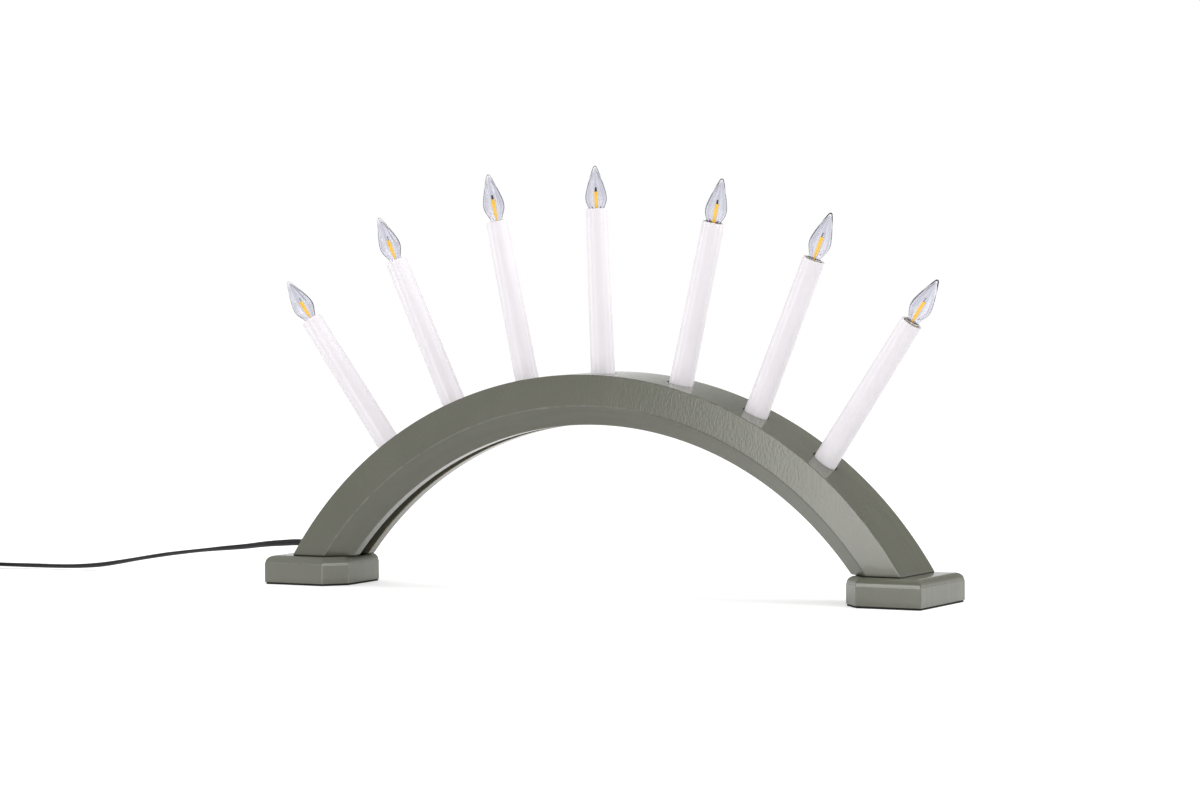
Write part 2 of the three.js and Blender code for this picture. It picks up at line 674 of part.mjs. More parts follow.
function plugPin() {
  const radius = PIN_DIAMETER / 2;
  const shoulder = PIN_LENGTH - radius / 2;
  return turned([
    [0, 0], [radius, 0], [radius, shoulder], [radius / 2, PIN_LENGTH], [0, PIN_LENGTH],
  ], LAMP_SIDES).rotateY(Math.PI / 2);
}

// Finishes
const PAINT = { color: 0x7d7e71, roughness: 0.42, metalness: 0 };
const BLACK_FOAM = { color: 0x1c1c1b, roughness: 0.9, metalness: 0 };
const STEEL = { color: 0xb9bab8, roughness: 0.35, metalness: 1 };
const SLEEVE_PLASTIC = { color: 0xf1eef0, roughness: 0.35, metalness: 0 };
const HOLDER_PLASTIC = { color: 0xd8d0bd, roughness: 0.5, metalness: 0 };
const BRASS = { color: 0xb79a5c, roughness: 0.35, metalness: 1 };
const NICKEL = { color: 0xbfbdb6, roughness: 0.3, metalness: 1 };
const CLEAR_GLASS = { color: 0xe9e9f2, roughness: 0.05, metalness: 0, transparent: true, opacity: 0.35 };
const PHOSPHOR = { color: 0xf7c02c, roughness: 0.6, metalness: 0 };
const BLACK_FLEX = { color: 0x1f1e22, roughness: 0.5, metalness: 0 };

function part(name, geometry, finish) {
  const mesh = new THREE.Mesh(closed(geometry), new THREE.MeshStandardMaterial(finish));
  mesh.name = name;
  return mesh;
}

const lamp = new THREE.Group();
lamp.add(part('arch', archBody(), PAINT));
for (const [side, word] of [[-1, 'left'], [1, 'right']]) {
  lamp.add(part(`foot_${word}`, footBlock(side), PAINT));
  lamp.add(part(`foot_pad_${word}`, footPad(side), BLACK_FOAM));
}
for (const [x, y] of screwPlaces()) {
  const words = `${x < 0 ? 'left' : 'right'}_${y < 0 ? 'front' : 'back'}`;
  const screw = part(`foot_screw_${words}`, footScrew(), STEEL);
  screw.position.set(x, y, screwFoot());
  lamp.add(screw);
}
lamp.add(part('wiring_loom', wiringLoom(), BLACK_FLEX));

candles.forEach(({ tilt, foot, out }, index) => {
  const number = index + 1;
  const candle = new THREE.Group();
  candle.position.copy(foot);
  candle.rotation.y = tilt;
  candle.add(part(`candle_sleeve_${number}`, candleSleeve(), SLEEVE_PLASTIC));
  candle.add(part(`lamp_holder_${number}`, lampHolder(), HOLDER_PLASTIC));
  const screwed = new THREE.Group();
  screwed.position.z = out;
  screwed.add(part(`holder_contact_${number}`, holderContact(), BRASS));
  screwed.add(part(`lamp_cap_${number}`, lampCap(), NICKEL));
  screwed.add(part(`lamp_glass_${number}`, lampGlass(), CLEAR_GLASS));
  screwed.add(part(`lamp_filament_${number}`, lampFilament(), PHOSPHOR));
  candle.add(screwed);
  lamp.add(candle);
});

lamp.add(part('cord_strain_relief', strainRelief(), BLACK_FLEX));
lamp.add(part('cord_lead', cordLead(), BLACK_FLEX));
lamp.add(part('cord_coil', cordCoil(), BLACK_FLEX));
lamp.add(part('cord_tie', cordTie(), BLACK_FLEX));

const plug = new THREE.Group();
plug.rotation.z = coil.start + coil.sweep + Math.PI / 2;
plug.position.set(CLEARANCE, 0, 0).applyEuler(plug.rotation).add(coilRoute().at(-1));
plug.add(part('plug_body', plugBody(), BLACK_FLEX));
for (const [end, word] of [[-1, 'near'], [1, 'far']]) {
  const pin = part(`plug_pin_${word}`, plugPin(), NICKEL);
  pin.position.set(PLUG_NECK_LENGTH + PLUG_LENGTH + CLEARANCE, (end * PIN_SPACING) / 2, 0);
  plug.add(pin);
}
lamp.add(plug);

// The length of a smooth run through the points
function runLength(points) {
  const run = new THREE.CatmullRomCurve3(points, false, 'centripetal');
  run.arcLengthDivisions = CURVE_DIVISIONS_PER_STEP * points.length;
  return run.getLength();
}

console.log('cord length, mm:', (runLength(cordRoute()) + runLength(coilRoute())).toFixed(1));
console.log('least gap in the coil, mm:', leastCoilGap().toFixed(2));

export default lamp;
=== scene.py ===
# %% [markdown]
# # An electric candle arch
# A painted wooden arch stands on two feet and carries seven white candle sleeves in a fan.
# Each sleeve holds a small screw lamp with a flame-shaped glass. A thin black twin flex leaves
# the left leg. The solids of the part are loaded first, as a fixed frame: every surface below
# is made around them, in the same place and in the same units.

# %% Load the frame
import math

import bmesh
import bpy
import numpy as np
from mathutils import Matrix


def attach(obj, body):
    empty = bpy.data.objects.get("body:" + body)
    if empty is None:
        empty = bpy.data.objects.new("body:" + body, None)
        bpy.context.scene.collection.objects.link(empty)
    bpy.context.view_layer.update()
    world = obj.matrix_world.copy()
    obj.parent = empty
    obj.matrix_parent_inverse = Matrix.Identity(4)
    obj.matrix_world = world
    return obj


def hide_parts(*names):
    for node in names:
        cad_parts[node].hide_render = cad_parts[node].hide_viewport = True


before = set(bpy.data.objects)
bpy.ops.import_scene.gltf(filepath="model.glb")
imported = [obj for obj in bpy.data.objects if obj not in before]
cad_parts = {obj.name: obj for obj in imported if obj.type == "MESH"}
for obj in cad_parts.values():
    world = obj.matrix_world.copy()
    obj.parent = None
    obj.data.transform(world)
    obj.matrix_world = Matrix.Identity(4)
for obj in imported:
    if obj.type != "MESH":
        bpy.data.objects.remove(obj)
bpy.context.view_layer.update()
scene = bpy.context.scene
scene.view_settings.view_transform = "Standard"

# %% [markdown]
# ## Sizes
# All lengths are in millimetres until a mesh is made, because a maker thinks in millimetres.
# The arch is a part of a ring: its centre lies below the table, and every place on it is a
# radius and an angle from the top of the ring.

# %% Sizes that several pieces share
MM = 0.001
OUTER_RADIUS, CROWN_HEIGHT = 260.0, 141.3
RING_CENTRE = CROWN_HEIGHT - OUTER_RADIUS
INNER_RADIUS = OUTER_RADIUS - 32.7
CHAMFER_RADIUS = OUTER_RADIUS - 20.0
HALF_DEPTH, INNER_HALF, GROOVE_HALF = 25.5, 13.15, 5.3
GROOVE_FLOOR = INNER_RADIUS + 8.2
PAD_TOP, FOOT_TOP = 1.2, 18.7
HOLE_DEPTH, HOLE_SPACING = 16.0, 56.5
LEDGE = OUTER_RADIUS - HOLE_DEPTH
CANDLES = range(1, 8)
HOLE_ANGLES = (np.arange(7) - 3) * HOLE_SPACING / OUTER_RADIUS
CANDLE_LEANS = np.radians([1.4, 0, 0.6, -2.1, 0.6, -2.1, -3.1])
LAMP_TURNS_OUT = np.array([2.25, 2.25, 2.25, 0, 0.5, 2.25, 2.5])
THREAD_PITCH, THREAD_SWING = 1.814, 0.22
SLEEVE_LENGTH, SLEEVE_FOOT = 121.0, 7.55
CAP_TOP = 117.3
STAND = "stand"
print("candles:", len(CANDLES))

# %% Angles, places and soft steps
QUARTER = np.linspace(0, math.pi / 2, 9)


def compass(angle):
    """Points of a circle of radius 1: the cosine and the sine of each angle."""
    return np.stack([np.cos(angle), np.sin(angle)], -1)


def all_round(sides):
    """Angles spread evenly over one full turn."""
    return np.linspace(0, math.tau, sides, endpoint=False)


def arc(middle, reach, angle):
    """Points of an ellipse: its middle, plus its two reaches times cosine and sine."""
    return np.array(middle) + np.array(reach) * compass(angle)


def unit(vectors):
    """Each vector divided by its own length."""
    return vectors / np.linalg.norm(vectors, axis=-1, keepdims=True)


def turned(grid, angle, first=0, second=1):
    """A grid of points turned by an angle, from its first axis towards its second."""
    c, s = math.cos(angle), math.sin(angle)
    made = np.array(grid, float)
    made[..., first] = c * grid[..., first] - s * grid[..., second]
    made[..., second] = s * grid[..., first] + c * grid[..., second]
    return made


def ease(share):
    """From 0 to 1 with level ends: three squares less two cubes."""
    share = np.clip(share, 0, 1)
    return share * share * (3 - 2 * share)


def bell(gap, width):
    """1 where the gap is 0; beside it e to minus the square of the gap over the width."""
    return np.exp(-((gap / width) ** 2))


def on_ring(radius, angle, depth=0.0):
    """A place on the ring: out from its centre by the radius, at an angle from straight up."""
    return np.stack(np.broadcast_arrays(
        radius * np.sin(angle), depth, RING_CENTRE + radius * np.cos(angle)), -1)


def half_span(radius, height):
    """Half the width of a circle of the ring at a height: Pythagoras from the ring's centre."""
    return math.sqrt(radius**2 - (height - RING_CENTRE) ** 2)


print("span over the legs, mm:", round(2 * half_span(OUTER_RADIUS, FOOT_TOP), 1))

# %% [markdown]
# ## The camera
# The picture was taken with a long lens from a little above the table, from the right. The
# camera's turn, rise, roll and distance were worked out from the arch's own edges.

# %% Camera
CAMERA_TURN, CAMERA_RISE, CAMERA_ROLL = np.radians([28.38, 2.74, -0.44])
CAMERA_DISTANCE = 2958.3
CAMERA_TARGET = np.array([-2.66, 0, 123.59])
LENS_MM, SENSOR_MM = 138.29, 36.0


def stand_at(thing, right, backward, place):
    """Adds an object to the scene at a place in metres, with its X axis to the right and its Z
    axis backward; its Y axis is square to both."""
    scene.collection.objects.link(thing)
    columns = np.column_stack([right, np.cross(backward, right), backward, place])
    thing.matrix_world = Matrix(np.vstack([columns, [0, 0, 0, 1]]).tolist())


backward = np.array([
    math.sin(CAMERA_TURN) * math.cos(CAMERA_RISE),
    -math.cos(CAMERA_TURN) * math.cos(CAMERA_RISE),
    math.sin(CAMERA_RISE),
])
level = unit(np.cross(-backward, [0, 0, 1]))
camera_x = math.cos(CAMERA_ROLL) * level + math.sin(CAMERA_ROLL) * np.cross(backward, level)
camera_place = (CAMERA_TARGET + backward * CAMERA_DISTANCE) * MM
camera = bpy.data.objects.new("camera", bpy.data.cameras.new("camera"))
camera.data.sensor_fit = "HORIZONTAL"
camera.data.sensor_width = SENSOR_MM
camera.data.lens = LENS_MM
stand_at(camera, camera_x, backward, camera_place)
scene.camera = camera
print("camera at, m:", camera_place.round(3))

# %% [markdown]
# ## Tools for surfaces
# Nearly every piece here is one of two things: a profile turned round an axis, or an outline
# carried along a path. Both give a grid of points, rows by columns, worked out as whole arrays.
# One small function then turns any grid into a mesh, welds its poles and seams, and points its
# faces outwards.

# %% Smooth curves


def smooth(points, steps):
    """A smooth curve through the points: each stretch blends three straight runs twice,
    with the time between points set by the square root of their distance."""
    points = np.asarray(points, float)
    first = 2 * points[0] - points[1]
    last = 2 * points[-1] - points[-2]
    p = np.vstack([first, points, last])
    knots = np.concatenate([[0], np.cumsum(np.linalg.norm(np.diff(p, axis=0), axis=1) ** 0.5)])
    k = [knots[i : len(knots) - 3 + i, None, None] for i in range(4)]
    q = [p[i : len(p) - 3 + i, None, :] for i in range(4)]
    t = k[1] + (k[2] - k[1]) * np.linspace(0, 1, steps, endpoint=False)[None, :, None]

    def run(a, b, start, end):
        return (a * (end - t) + b * (t - start)) / (end - start)

    one = [run(q[i], q[i + 1], k[i], k[i + 1]) for i in range(3)]
    two = [run(one[i], one[i + 1], k[i], k[i + 2]) for i in range(2)]
    curve = run(two[0], two[1], k[1], k[2])
    return np.vstack([curve.reshape(-1, points.shape[1]), points[-1:]])


# %% Turned surfaces and swept surfaces


def lathe(profile, sides, ripple=0.0, waves=0, pitch=None):
    """Points of a turned surface. Each radius and height of the profile goes round the Z axis.
    The radius gains ripple times the cosine of waves times the angle, less one turn a pitch."""
    radius, height = np.asarray(profile, float).T
    angle = all_round(sides)
    climb = math.tau * height / pitch if pitch else 0 * height
    wave = np.cos(waves * angle[None, :] - climb[:, None])
    far = radius[:, None] + np.broadcast_to(ripple, radius.shape)[:, None] * wave
    return np.stack([far * np.cos(angle), far * np.sin(angle), height[:, None] + 0 * far], -1)


def closed(rows):
    """A grid with one more row at each end, drawn together in the middle of the row beside it."""
    ends = [np.broadcast_to(rows[i].mean(0), (1, *rows.shape[1:])) for i in (0, -1)]
    return np.concatenate([ends[0], rows, ends[1]])


def sweep(path, outline, up=(0, 0, 1)):
    """Points of an outline carried along a path. At each point of the path the outline's first
    axis is across the path and its second is towards up. Both ends close to a point."""
    tangent = unit(np.gradient(path, axis=0))
    across = unit(np.cross(tangent, np.broadcast_to(up, path.shape)))
    lift = np.cross(across, tangent)
    outline = np.broadcast_to(outline, (len(path), *np.shape(outline)[-2:]))
    return closed(
        path[:, None] + outline[..., :1] * across[:, None] + outline[..., 1:] * lift[:, None])


def grid_faces(rows, columns, ring=False):
    """Four-sided faces between neighbours of a grid. Columns always close round on themselves,
    and with ring the rows do too."""
    number = np.arange(rows * columns).reshape(rows, columns)
    number = np.hstack([number, number[:, :1]])
    if ring:
        number = np.vstack([number, number[:1]])
    corners = number[:-1, :-1], number[:-1, 1:], number[1:, 1:], number[1:, :-1]
    return np.stack(corners, -1).reshape(-1, 4)


print("tools ready")

# %% From grids to pieces
WELD = 2e-6


def weld(mesh):
    """Joins points that lie together, drops collapsed faces and points all faces outwards."""
    work = bmesh.new()
    work.from_mesh(mesh)
    bmesh.ops.remove_doubles(work, verts=work.verts, dist=WELD)
    bmesh.ops.dissolve_degenerate(work, edges=work.edges, dist=WELD / 2)
    bmesh.ops.recalc_face_normals(work, faces=work.faces)
    work.to_mesh(mesh)
    work.free()


def round_off(mesh, crease):
    """Shades all faces smooth. Edges that turn more than the crease angle stay sharp."""
    mesh.polygons.foreach_set("use_smooth", np.ones(len(mesh.polygons), bool))
    mesh.set_sharp_from_angle(angle=math.radians(crease))


def solid(name, grids, ring=False, caps=(), crease=35.0):
    """An object from one grid of points in millimetres, or from several in one mesh."""
    grids = grids if isinstance(grids, list) else [grids]
    points = np.concatenate([g.reshape(-1, 3) for g in grids]) * MM
    starts = np.cumsum([0] + [g.shape[0] * g.shape[1] for g in grids])
    faces = np.concatenate([grid_faces(*g.shape[:2], ring) + s for g, s in zip(grids, starts)])
    mesh = bpy.data.meshes.new(name)
    mesh.from_pydata(points.tolist(), [], faces.tolist() + [list(cap) for cap in caps])
    weld(mesh)
    round_off(mesh, crease)
    piece = bpy.data.objects.new(name, mesh)
    scene.collection.objects.link(piece)
    return piece


def coat(piece, finish):
    """Gives a piece one finish all over."""
    piece.data.materials.clear()
    piece.data.materials.append(finish)


def settle(piece, body, slot, finish, *nodes):
    """Gives a piece its finish and its body, and hides the nodes it stands for. The slot is not used."""
    coat(piece, finish)
    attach(piece, body)
    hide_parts(*nodes)
    return piece


def places(piece):
    """All points of a piece, in millimetres."""
    flat = np.empty(len(piece.data.vertices) * 3, np.float32)
    piece.data.vertices.foreach_get("co", flat)
    return flat.reshape(-1, 3) / MM


def paint_masks(piece, **masks):
    """Stores one number a point under each name, for a finish to read."""
    for name, values in masks.items():
        spread = np.broadcast_to(np.asarray(values, np.float32), len(piece.data.vertices))
        stored = piece.data.attributes.new(name, "FLOAT", "POINT")
        stored.data.foreach_set("value", np.ascontiguousarray(spread))


print("piece makers ready")

# %% [markdown]
# ## Tools for finishes
# A finish is a small graph of nodes. One helper adds a node and fills its sockets, with a plain
# value or with another node's output, so that each finish below reads like a list. Most finishes
# here are alike: a wide noise for the tone and a fine one for the grain, so one function makes
# them all from their numbers.

# %% Finish helpers
MOST_NOISE = (0.3, 0.7)


def node(graph, kind, sockets=None, **settings):
    """Adds a node to a graph. A socket's value is a number, a colour or another node's output."""
    made = graph.nodes.new("ShaderNode" + kind)
    for name, value in settings.items():
        setattr(made, name, value)
    for name, value in (sockets or {}).items():
        if isinstance(value, bpy.types.NodeSocket):
            graph.links.new(value, made.inputs[name])
        else:
            made.inputs[name].default_value = value
    return made


def new_finish(name):
    """A material with an empty graph, its output node and the object's own coordinates."""
    material = bpy.data.materials.new(name)
    material.use_nodes = True
    graph = material.node_tree
    graph.nodes.clear()
    output = node(graph, "OutputMaterial")
    coordinates = node(graph, "TexCoord").outputs["Object"]
    return material, graph, output, coordinates


def noise(graph, vector, per_metre, detail=3.0, roughness=0.5, stretch=(1, 1, 1)):
    """Soft noise with about so many blobs a metre. Stretch above 1 packs it tighter on that axis."""
    scaled = node(graph, "Mapping", {"Vector": vector, "Scale": stretch}).outputs["Vector"]
    sockets = {"Vector": scaled, "Scale": per_metre, "Detail": detail, "Roughness": roughness}
    return node(graph, "TexNoise", sockets).outputs["Fac"]


def mask(graph, name):
    """The numbers that a piece stores on its points under that name."""
    return node(graph, "Attribute", attribute_name=name).outputs["Fac"]


def blend(graph, share, first, second):
    """A colour between two others, each written as three numbers or taken from another node."""
    mix = node(graph, "Mix", {0: share}, data_type="RGBA")
    for place, value in ((6, first), (7, second)):
        if isinstance(value, tuple):
            mix.inputs[place].default_value = (*value, 1)
        else:
            graph.links.new(value, mix.inputs[place])
    return mix.outputs[2]


def between(graph, factor, low, high, start=0.0, end=1.0):
    """A number or colour that goes from low to high while the factor goes from start to end."""
    span = {"Value": factor, "From Min": start, "From Max": end}
    if isinstance(high, tuple):
        return blend(graph, node(graph, "MapRange", span).outputs["Result"], low, high)
    return node(graph, "MapRange", {**span, "To Min": low, "To Max": high}).outputs["Result"]


def product(graph, first, second):
    return node(graph, "Math", {0: first, 1: second}, operation="MULTIPLY").outputs[0]


def bump(graph, height, distance_mm, strength=1.0, under=None):
    sockets = {"Height": height, "Distance": distance_mm * MM, "Strength": strength}
    if under is not None:
        sockets["Normal"] = under
    return node(graph, "Bump", sockets).outputs["Normal"]


def shade(graph, output, **sockets):
    """The surface shader: sockets are named in small letters with underscores."""
    named = {}
    for key, value in sockets.items():
        word = key.replace("_", " ").title().replace("Ior", "IOR")
        named[word] = (*value, 1) if "Color" in word and isinstance(value, tuple) else value
    made = node(graph, "BsdfPrincipled", named)
    graph.links.new(made.outputs["BSDF"], output.inputs["Surface"])


def plain_finish(name, tone, colours, rough, grain=None, relief=None, patchy=False, low=None, **more):
    """A finish of two noises. The tone goes between two colours; the grain makes the relief and
    the gloss, but in a patchy finish the gloss follows the tone. A steady gloss is one number.
    Low is another colour, for where the mask of that name is 1."""
    material, graph, output, at = new_finish(name)
    wide = noise(graph, at, *tone)
    fine = noise(graph, at, *grain) if grain else wide
    colour = between(graph, wide, *colours, *MOST_NOISE)
    if low:
        colour = blend(graph, mask(graph, "low"), colour, low)
    if isinstance(rough, tuple):
        rough = between(graph, wide if patchy else fine, *rough)
    if relief:
        more["normal"] = bump(graph, fine, *relief)
    shade(graph, output, base_color=colour, roughness=rough, **more)
    return material


print("finish helpers ready")

# %% [markdown]
# ## Black flex and moulded plastic
# The lead is soft black plastic: nearly smooth, a little uneven in gloss, with a faint grain.
# The plug and the strain relief are the same plastic with the fine spark texture of their mould.

# %% Black finishes
black_flex = plain_finish(
    "black_flex", tone=(60, 2), colours=((0.011, 0.0105, 0.013), (0.022, 0.021, 0.024)),
    rough=(0.3, 0.46, *MOST_NOISE), grain=(1800, 2), relief=(0.03, 0.5), patchy=True)
black_moulded = plain_finish(
    "black_moulded", tone=(90, 3), colours=((0.012, 0.012, 0.0135), (0.02, 0.02, 0.022)),
    rough=(0.42, 0.62, 0.35, 0.65), grain=(2600, 4, 0.7), relief=(0.08, 0.6))
print("finishes:", black_flex.name, black_moulded.name)

# %% [markdown]
# ## The lead
# The lead comes first after the camera, because its room on the table is measured. It is a flat
# twin flex: two round cores side by side, moulded together, with a slow twist. It leaves the
# strain relief straight, droops to the table and runs on to a tied coil, where the rest of its
# 1.8 m is put away, and ends in a flat plug. Its route is the route of the part's own cord.

# %% Route of the lead
CORD_WIDTH, CORD_LENGTH_M = 4.4, 1.8
RELIEF_HEIGHT = FOOT_TOP + 6.7
RELIEF_TIP = -half_span(OUTER_RADIUS, RELIEF_HEIGHT) - 12.0
RELIEF_INNER = -half_span(GROOVE_FLOOR, RELIEF_HEIGHT) - 4.0
LEAD_ROUTE = np.array([
    [0, 0, 1], [6, 0, 0.996], [14, 0.2, 0.971], [28.5, 1, 0.916], [48, 3, 0.809],
    [70, 5.2, 0.71], [91, 7, 0.605], [113, 8.2, 0.482], [134, 8.8, 0.338], [152, 8.8, 0.202],
    [168, 8.5, 0.096], [185, 7.8, 0.032], [203, 6.6, 0.008], [221, 4.8, 0.008],
    [238, 2.4, 0.012], [252, -0.6, 0.025], [264.4, -3.9, 0.042],
])
COIL_ENTRY = np.array([RELIEF_TIP - 275.7, -7.4])
COIL_MIDDLE, COIL_PITCH, COIL_LAYERS, COIL_LOW = 23.5, 4.9, 4, 3.3
COIL_START, COIL_END = np.radians([110.0, 3690.0])
TAIL_LENGTH = 46.0
PLUG_THICKNESS = 13.7


def coil_route(steps_per_turn):
    """The coil winds in and out at a steady rate and climbs one layer at each reversal, so that
    the turns lie side by side; the radius is a triangle wave of the angle."""
    whole = COIL_END - COIL_START
    per_layer = whole / COIL_LAYERS
    width = COIL_PITCH * per_layer / math.tau
    outer = COIL_MIDDLE + width / 2
    turn = np.linspace(0, whole, round(steps_per_turn * whole / math.tau))
    inwards = 1 - np.abs(turn / per_layer % 2 - 1)
    climbs = np.arange(1, COIL_LAYERS) * per_layer
    height = COIL_PITCH * ease((turn[:, None] - climbs) / math.pi + 0.5).sum(1)
    centre = COIL_ENTRY - outer * compass(COIL_START)
    flat = centre + (outer - width * inwards)[:, None] * compass(COIL_START + turn)
    return np.column_stack([flat, COIL_LOW + height]), centre, width


coil, coil_centre, coil_width = coil_route(64)
entry_heading = np.array([-math.sin(COIL_START), math.cos(COIL_START), 0])
tail_heading = np.array([-math.sin(COIL_END), math.cos(COIL_END), 0])
heights = CORD_WIDTH / 2 + (RELIEF_HEIGHT - CORD_WIDTH / 2) * LEAD_ROUTE[:, 2]
lead = np.column_stack([RELIEF_TIP - LEAD_ROUTE[:, 0], LEAD_ROUTE[:, 1], heights])
lead = np.vstack([lead, coil[0] - CORD_WIDTH * entry_heading, coil[0]])
share = np.linspace(0, 1, 24)[1:, None]
tail = coil[-1] + tail_heading * TAIL_LENGTH * share
tail[:, 2:] -= (coil[-1, 2] - PLUG_THICKNESS / 2) * ease(share)
plug_start = tail[-1] + tail_heading * CORD_WIDTH
cord_path = np.vstack([smooth(lead, 8)[:-1], coil, tail, plug_start])
travelled = np.concatenate([[0], np.cumsum(np.linalg.norm(np.diff(cord_path, axis=0), axis=1))])
print("lead's length, mm:", round(travelled[-1], 1))

# %% Twin flex
CORE_SHARE, OFFSET_SHARE, WEB_SHARE = 0.262, 0.238, 0.85
TWIST_REST, TWIST_START, TWIST_FADE = 10.0, 50.0, 46.0
TWIST_WAVES = ((6.0, 21.0, 0.0), (4.0, 8.7, 1.0))


def twin_outline(width, sides):
    """Two round cores with a web between them: out from the middle by the core's offset times
    the cosine, plus what is left of its radius."""
    core, offset = width * CORE_SHARE, width * OFFSET_SHARE
    angle = all_round(sides)
    web = WEB_SHARE * (offset * np.sin(angle)) ** 2
    far = offset * np.abs(np.cos(angle)) + np.sqrt(core**2 - web)
    return far[:, None] * compass(angle)


def twisted(outline, turn):
    """The outline at each point of a path, turned by the angle there."""
    x, y = outline.T
    c, s = np.cos(turn)[:, None], np.sin(turn)[:, None]
    return np.stack([c * x - s * y, s * x + c * y], -1)


waver = sum(size * np.sin(travelled / reach + late) for size, reach, late in TWIST_WAVES)
twist = np.radians(TWIST_REST + TWIST_START * bell(travelled, TWIST_FADE) + waver)
flex_grid = sweep(cord_path, twisted(twin_outline(CORD_WIDTH, 28), twist))
flex = solid("mains_lead", flex_grid, crease=60)
settle(flex, STAND, "black_flex", black_flex, "cord_lead", "cord_coil")
print("lead's faces:", len(flex.data.polygons))

# %% [markdown]
# ## What sits on the lead
# The strain relief is a tapered plug of soft plastic with rings cut round its nose. The tie is a
# flat strap round all the turns of the coil. The plug is a flat moulded grip that widens to its
# pin face, and its two pins are sleeved near the face and bright at the tips.

# %% Strain relief
RELIEF_RADIUS, RELIEF_END, RELIEF_MOUTH = 3.7, 2.7, 2.3
NOSE_LENGTH, NOSE_RINGS, RING_DEPTH, RING_SHARE = 13.0, 5, 0.35, -0.2
relief_length = RELIEF_INNER - RELIEF_TIP
along = np.linspace(0, 1, 61)
rings = RING_DEPTH * (np.cos(along * NOSE_RINGS * math.tau) < RING_SHARE)
nose = np.column_stack([
    RELIEF_END + (RELIEF_RADIUS - RELIEF_END) * along - rings, relief_length - NOSE_LENGTH * along])
relief_profile = np.vstack([
    [[0, relief_length], [RELIEF_MOUTH, relief_length]],
    nose,
    [[RELIEF_RADIUS, 0.5], [RELIEF_RADIUS - 0.4, 0], [0, 0]],
])
x, y, z = np.moveaxis(lathe(relief_profile, 40), -1, 0)
relief = solid("strain_relief", np.stack([RELIEF_INNER - z, x, RELIEF_HEIGHT + y], -1))
settle(relief, STAND, "black_flex", black_moulded, "cord_strain_relief")
print("strain relief, mm long:", round(relief_length, 1))

# %% Tie round the coil
TIE_ANGLE = math.radians(-75.0)
TIE_WIDTH, TIE_THICKNESS, TIE_POWER = 6.0, 0.8, 0.36
TIE_SECTION = ((0.1, 1), (TIE_THICKNESS, 0.9), (TIE_THICKNESS, -0.9), (0.1, -1))
TIE_FLOOR, TIE_OVER, TIE_BESIDE = 0.02, 0.3, 0.6


def squarish(angle, power):
    """A circle pressed towards a box: cosine and sine raised to a power, with their signs kept."""
    ring = compass(angle)
    return np.sign(ring) * np.abs(ring) ** power


tie_top = COIL_LOW + (COIL_LAYERS - 1) * COIL_PITCH + CORD_WIDTH / 2 + TIE_OVER
tie_half = coil_width / 2 + CORD_WIDTH / 2 + TIE_BESIDE
wide, tall = squarish(all_round(96), TIE_POWER).T
rows = []
for grow, side in TIE_SECTION:
    low, high = TIE_THICKNESS - grow + TIE_FLOOR, tie_top + grow
    row = np.column_stack([
        COIL_MIDDLE + wide * (tie_half + grow), np.full_like(wide, side * TIE_WIDTH / 2),
        (low + high) / 2 + tall * (high - low) / 2])
    rows.append(turned(row, TIE_ANGLE) + [*coil_centre, 0])
tie = solid("coil_tie", np.stack(rows), ring=True)
settle(tie, STAND, "black_flex", black_moulded, "cord_tie")
print("tie, mm high:", round(tie_top + TIE_THICKNESS, 1))

# %% Plug
PLUG_LENGTH, PLUG_GAP = 50.0, 0.3
GRIP_START, GRIP_END, RIB_PITCH, RIB_DEPTH, RIB_POWER = 19, 39, 4, 0.35, 6
PLUG_STATIONS = np.array([
    [0.0, 2.5, 2.5, 2.0], [1.0, 2.8, 2.8, 2.0], [12.5, 4.2, 4.2, 2.0], [14.0, 5.4, 5.4, 2.2],
    [16.0, 6.9, 6.5, 3.0], [20.0, 8.0, 6.85, 4.0], [27.0, 9.4, 6.85, 4.5], [34.0, 11.4, 6.85, 4.5],
    [41.0, 14.2, 6.85, 4.5], [46.0, 16.4, 6.85, 4.5], [48.6, 17.4, 6.8, 4.5], [49.6, 17.2, 6.5, 4.5],
    [PLUG_LENGTH, 16.4, 5.9, 4.5],
])


def plug_grid(sides):
    """Flat rounded sections along the plug: half width, half thickness and squareness change
    smoothly between stations. Five shallow ribs cross the flanks of the grip."""
    out, wide, thick, square = smooth(PLUG_STATIONS, 7).T[..., None]
    ribs = ((out > GRIP_START) & (out < GRIP_END)) * RIB_DEPTH
    ribs = ribs * np.sin((out - GRIP_START) / RIB_PITCH * math.tau)
    angle = all_round(sides)
    box = squarish(angle, 2 / square[..., None])
    across = box[..., 0] * (wide + ribs * np.abs(np.cos(angle)) ** RIB_POWER)
    return closed(np.stack([0 * across + out, across, box[..., 1] * thick], -1))


def at_plug(grid):
    """Turns a grid made along X so that it leaves the end of the lead, on its heading."""
    return turned(grid, COIL_END + math.pi / 2) + plug_start + PLUG_GAP * tail_heading


plug = solid("plug_grip", at_plug(plug_grid(72)))
settle(plug, STAND, "black_flex", black_moulded, "plug_body")
print("plug, mm long:", PLUG_LENGTH)

# %% Pins
PIN_RADIUS, PIN_LENGTH, PIN_HALF_SPACING, PIN_SLEEVE, PIN_TIP = 2.0, 19.0, 9.3, 10.0, 1.4


def pin_grid(profile, side):
    """A turned pin laid along X, beside the plug's middle line."""
    x, y, z = np.moveaxis(lathe(profile, 32), -1, 0)
    return at_plug(np.stack([PLUG_LENGTH + z, side * PIN_HALF_SPACING + x, y], -1))


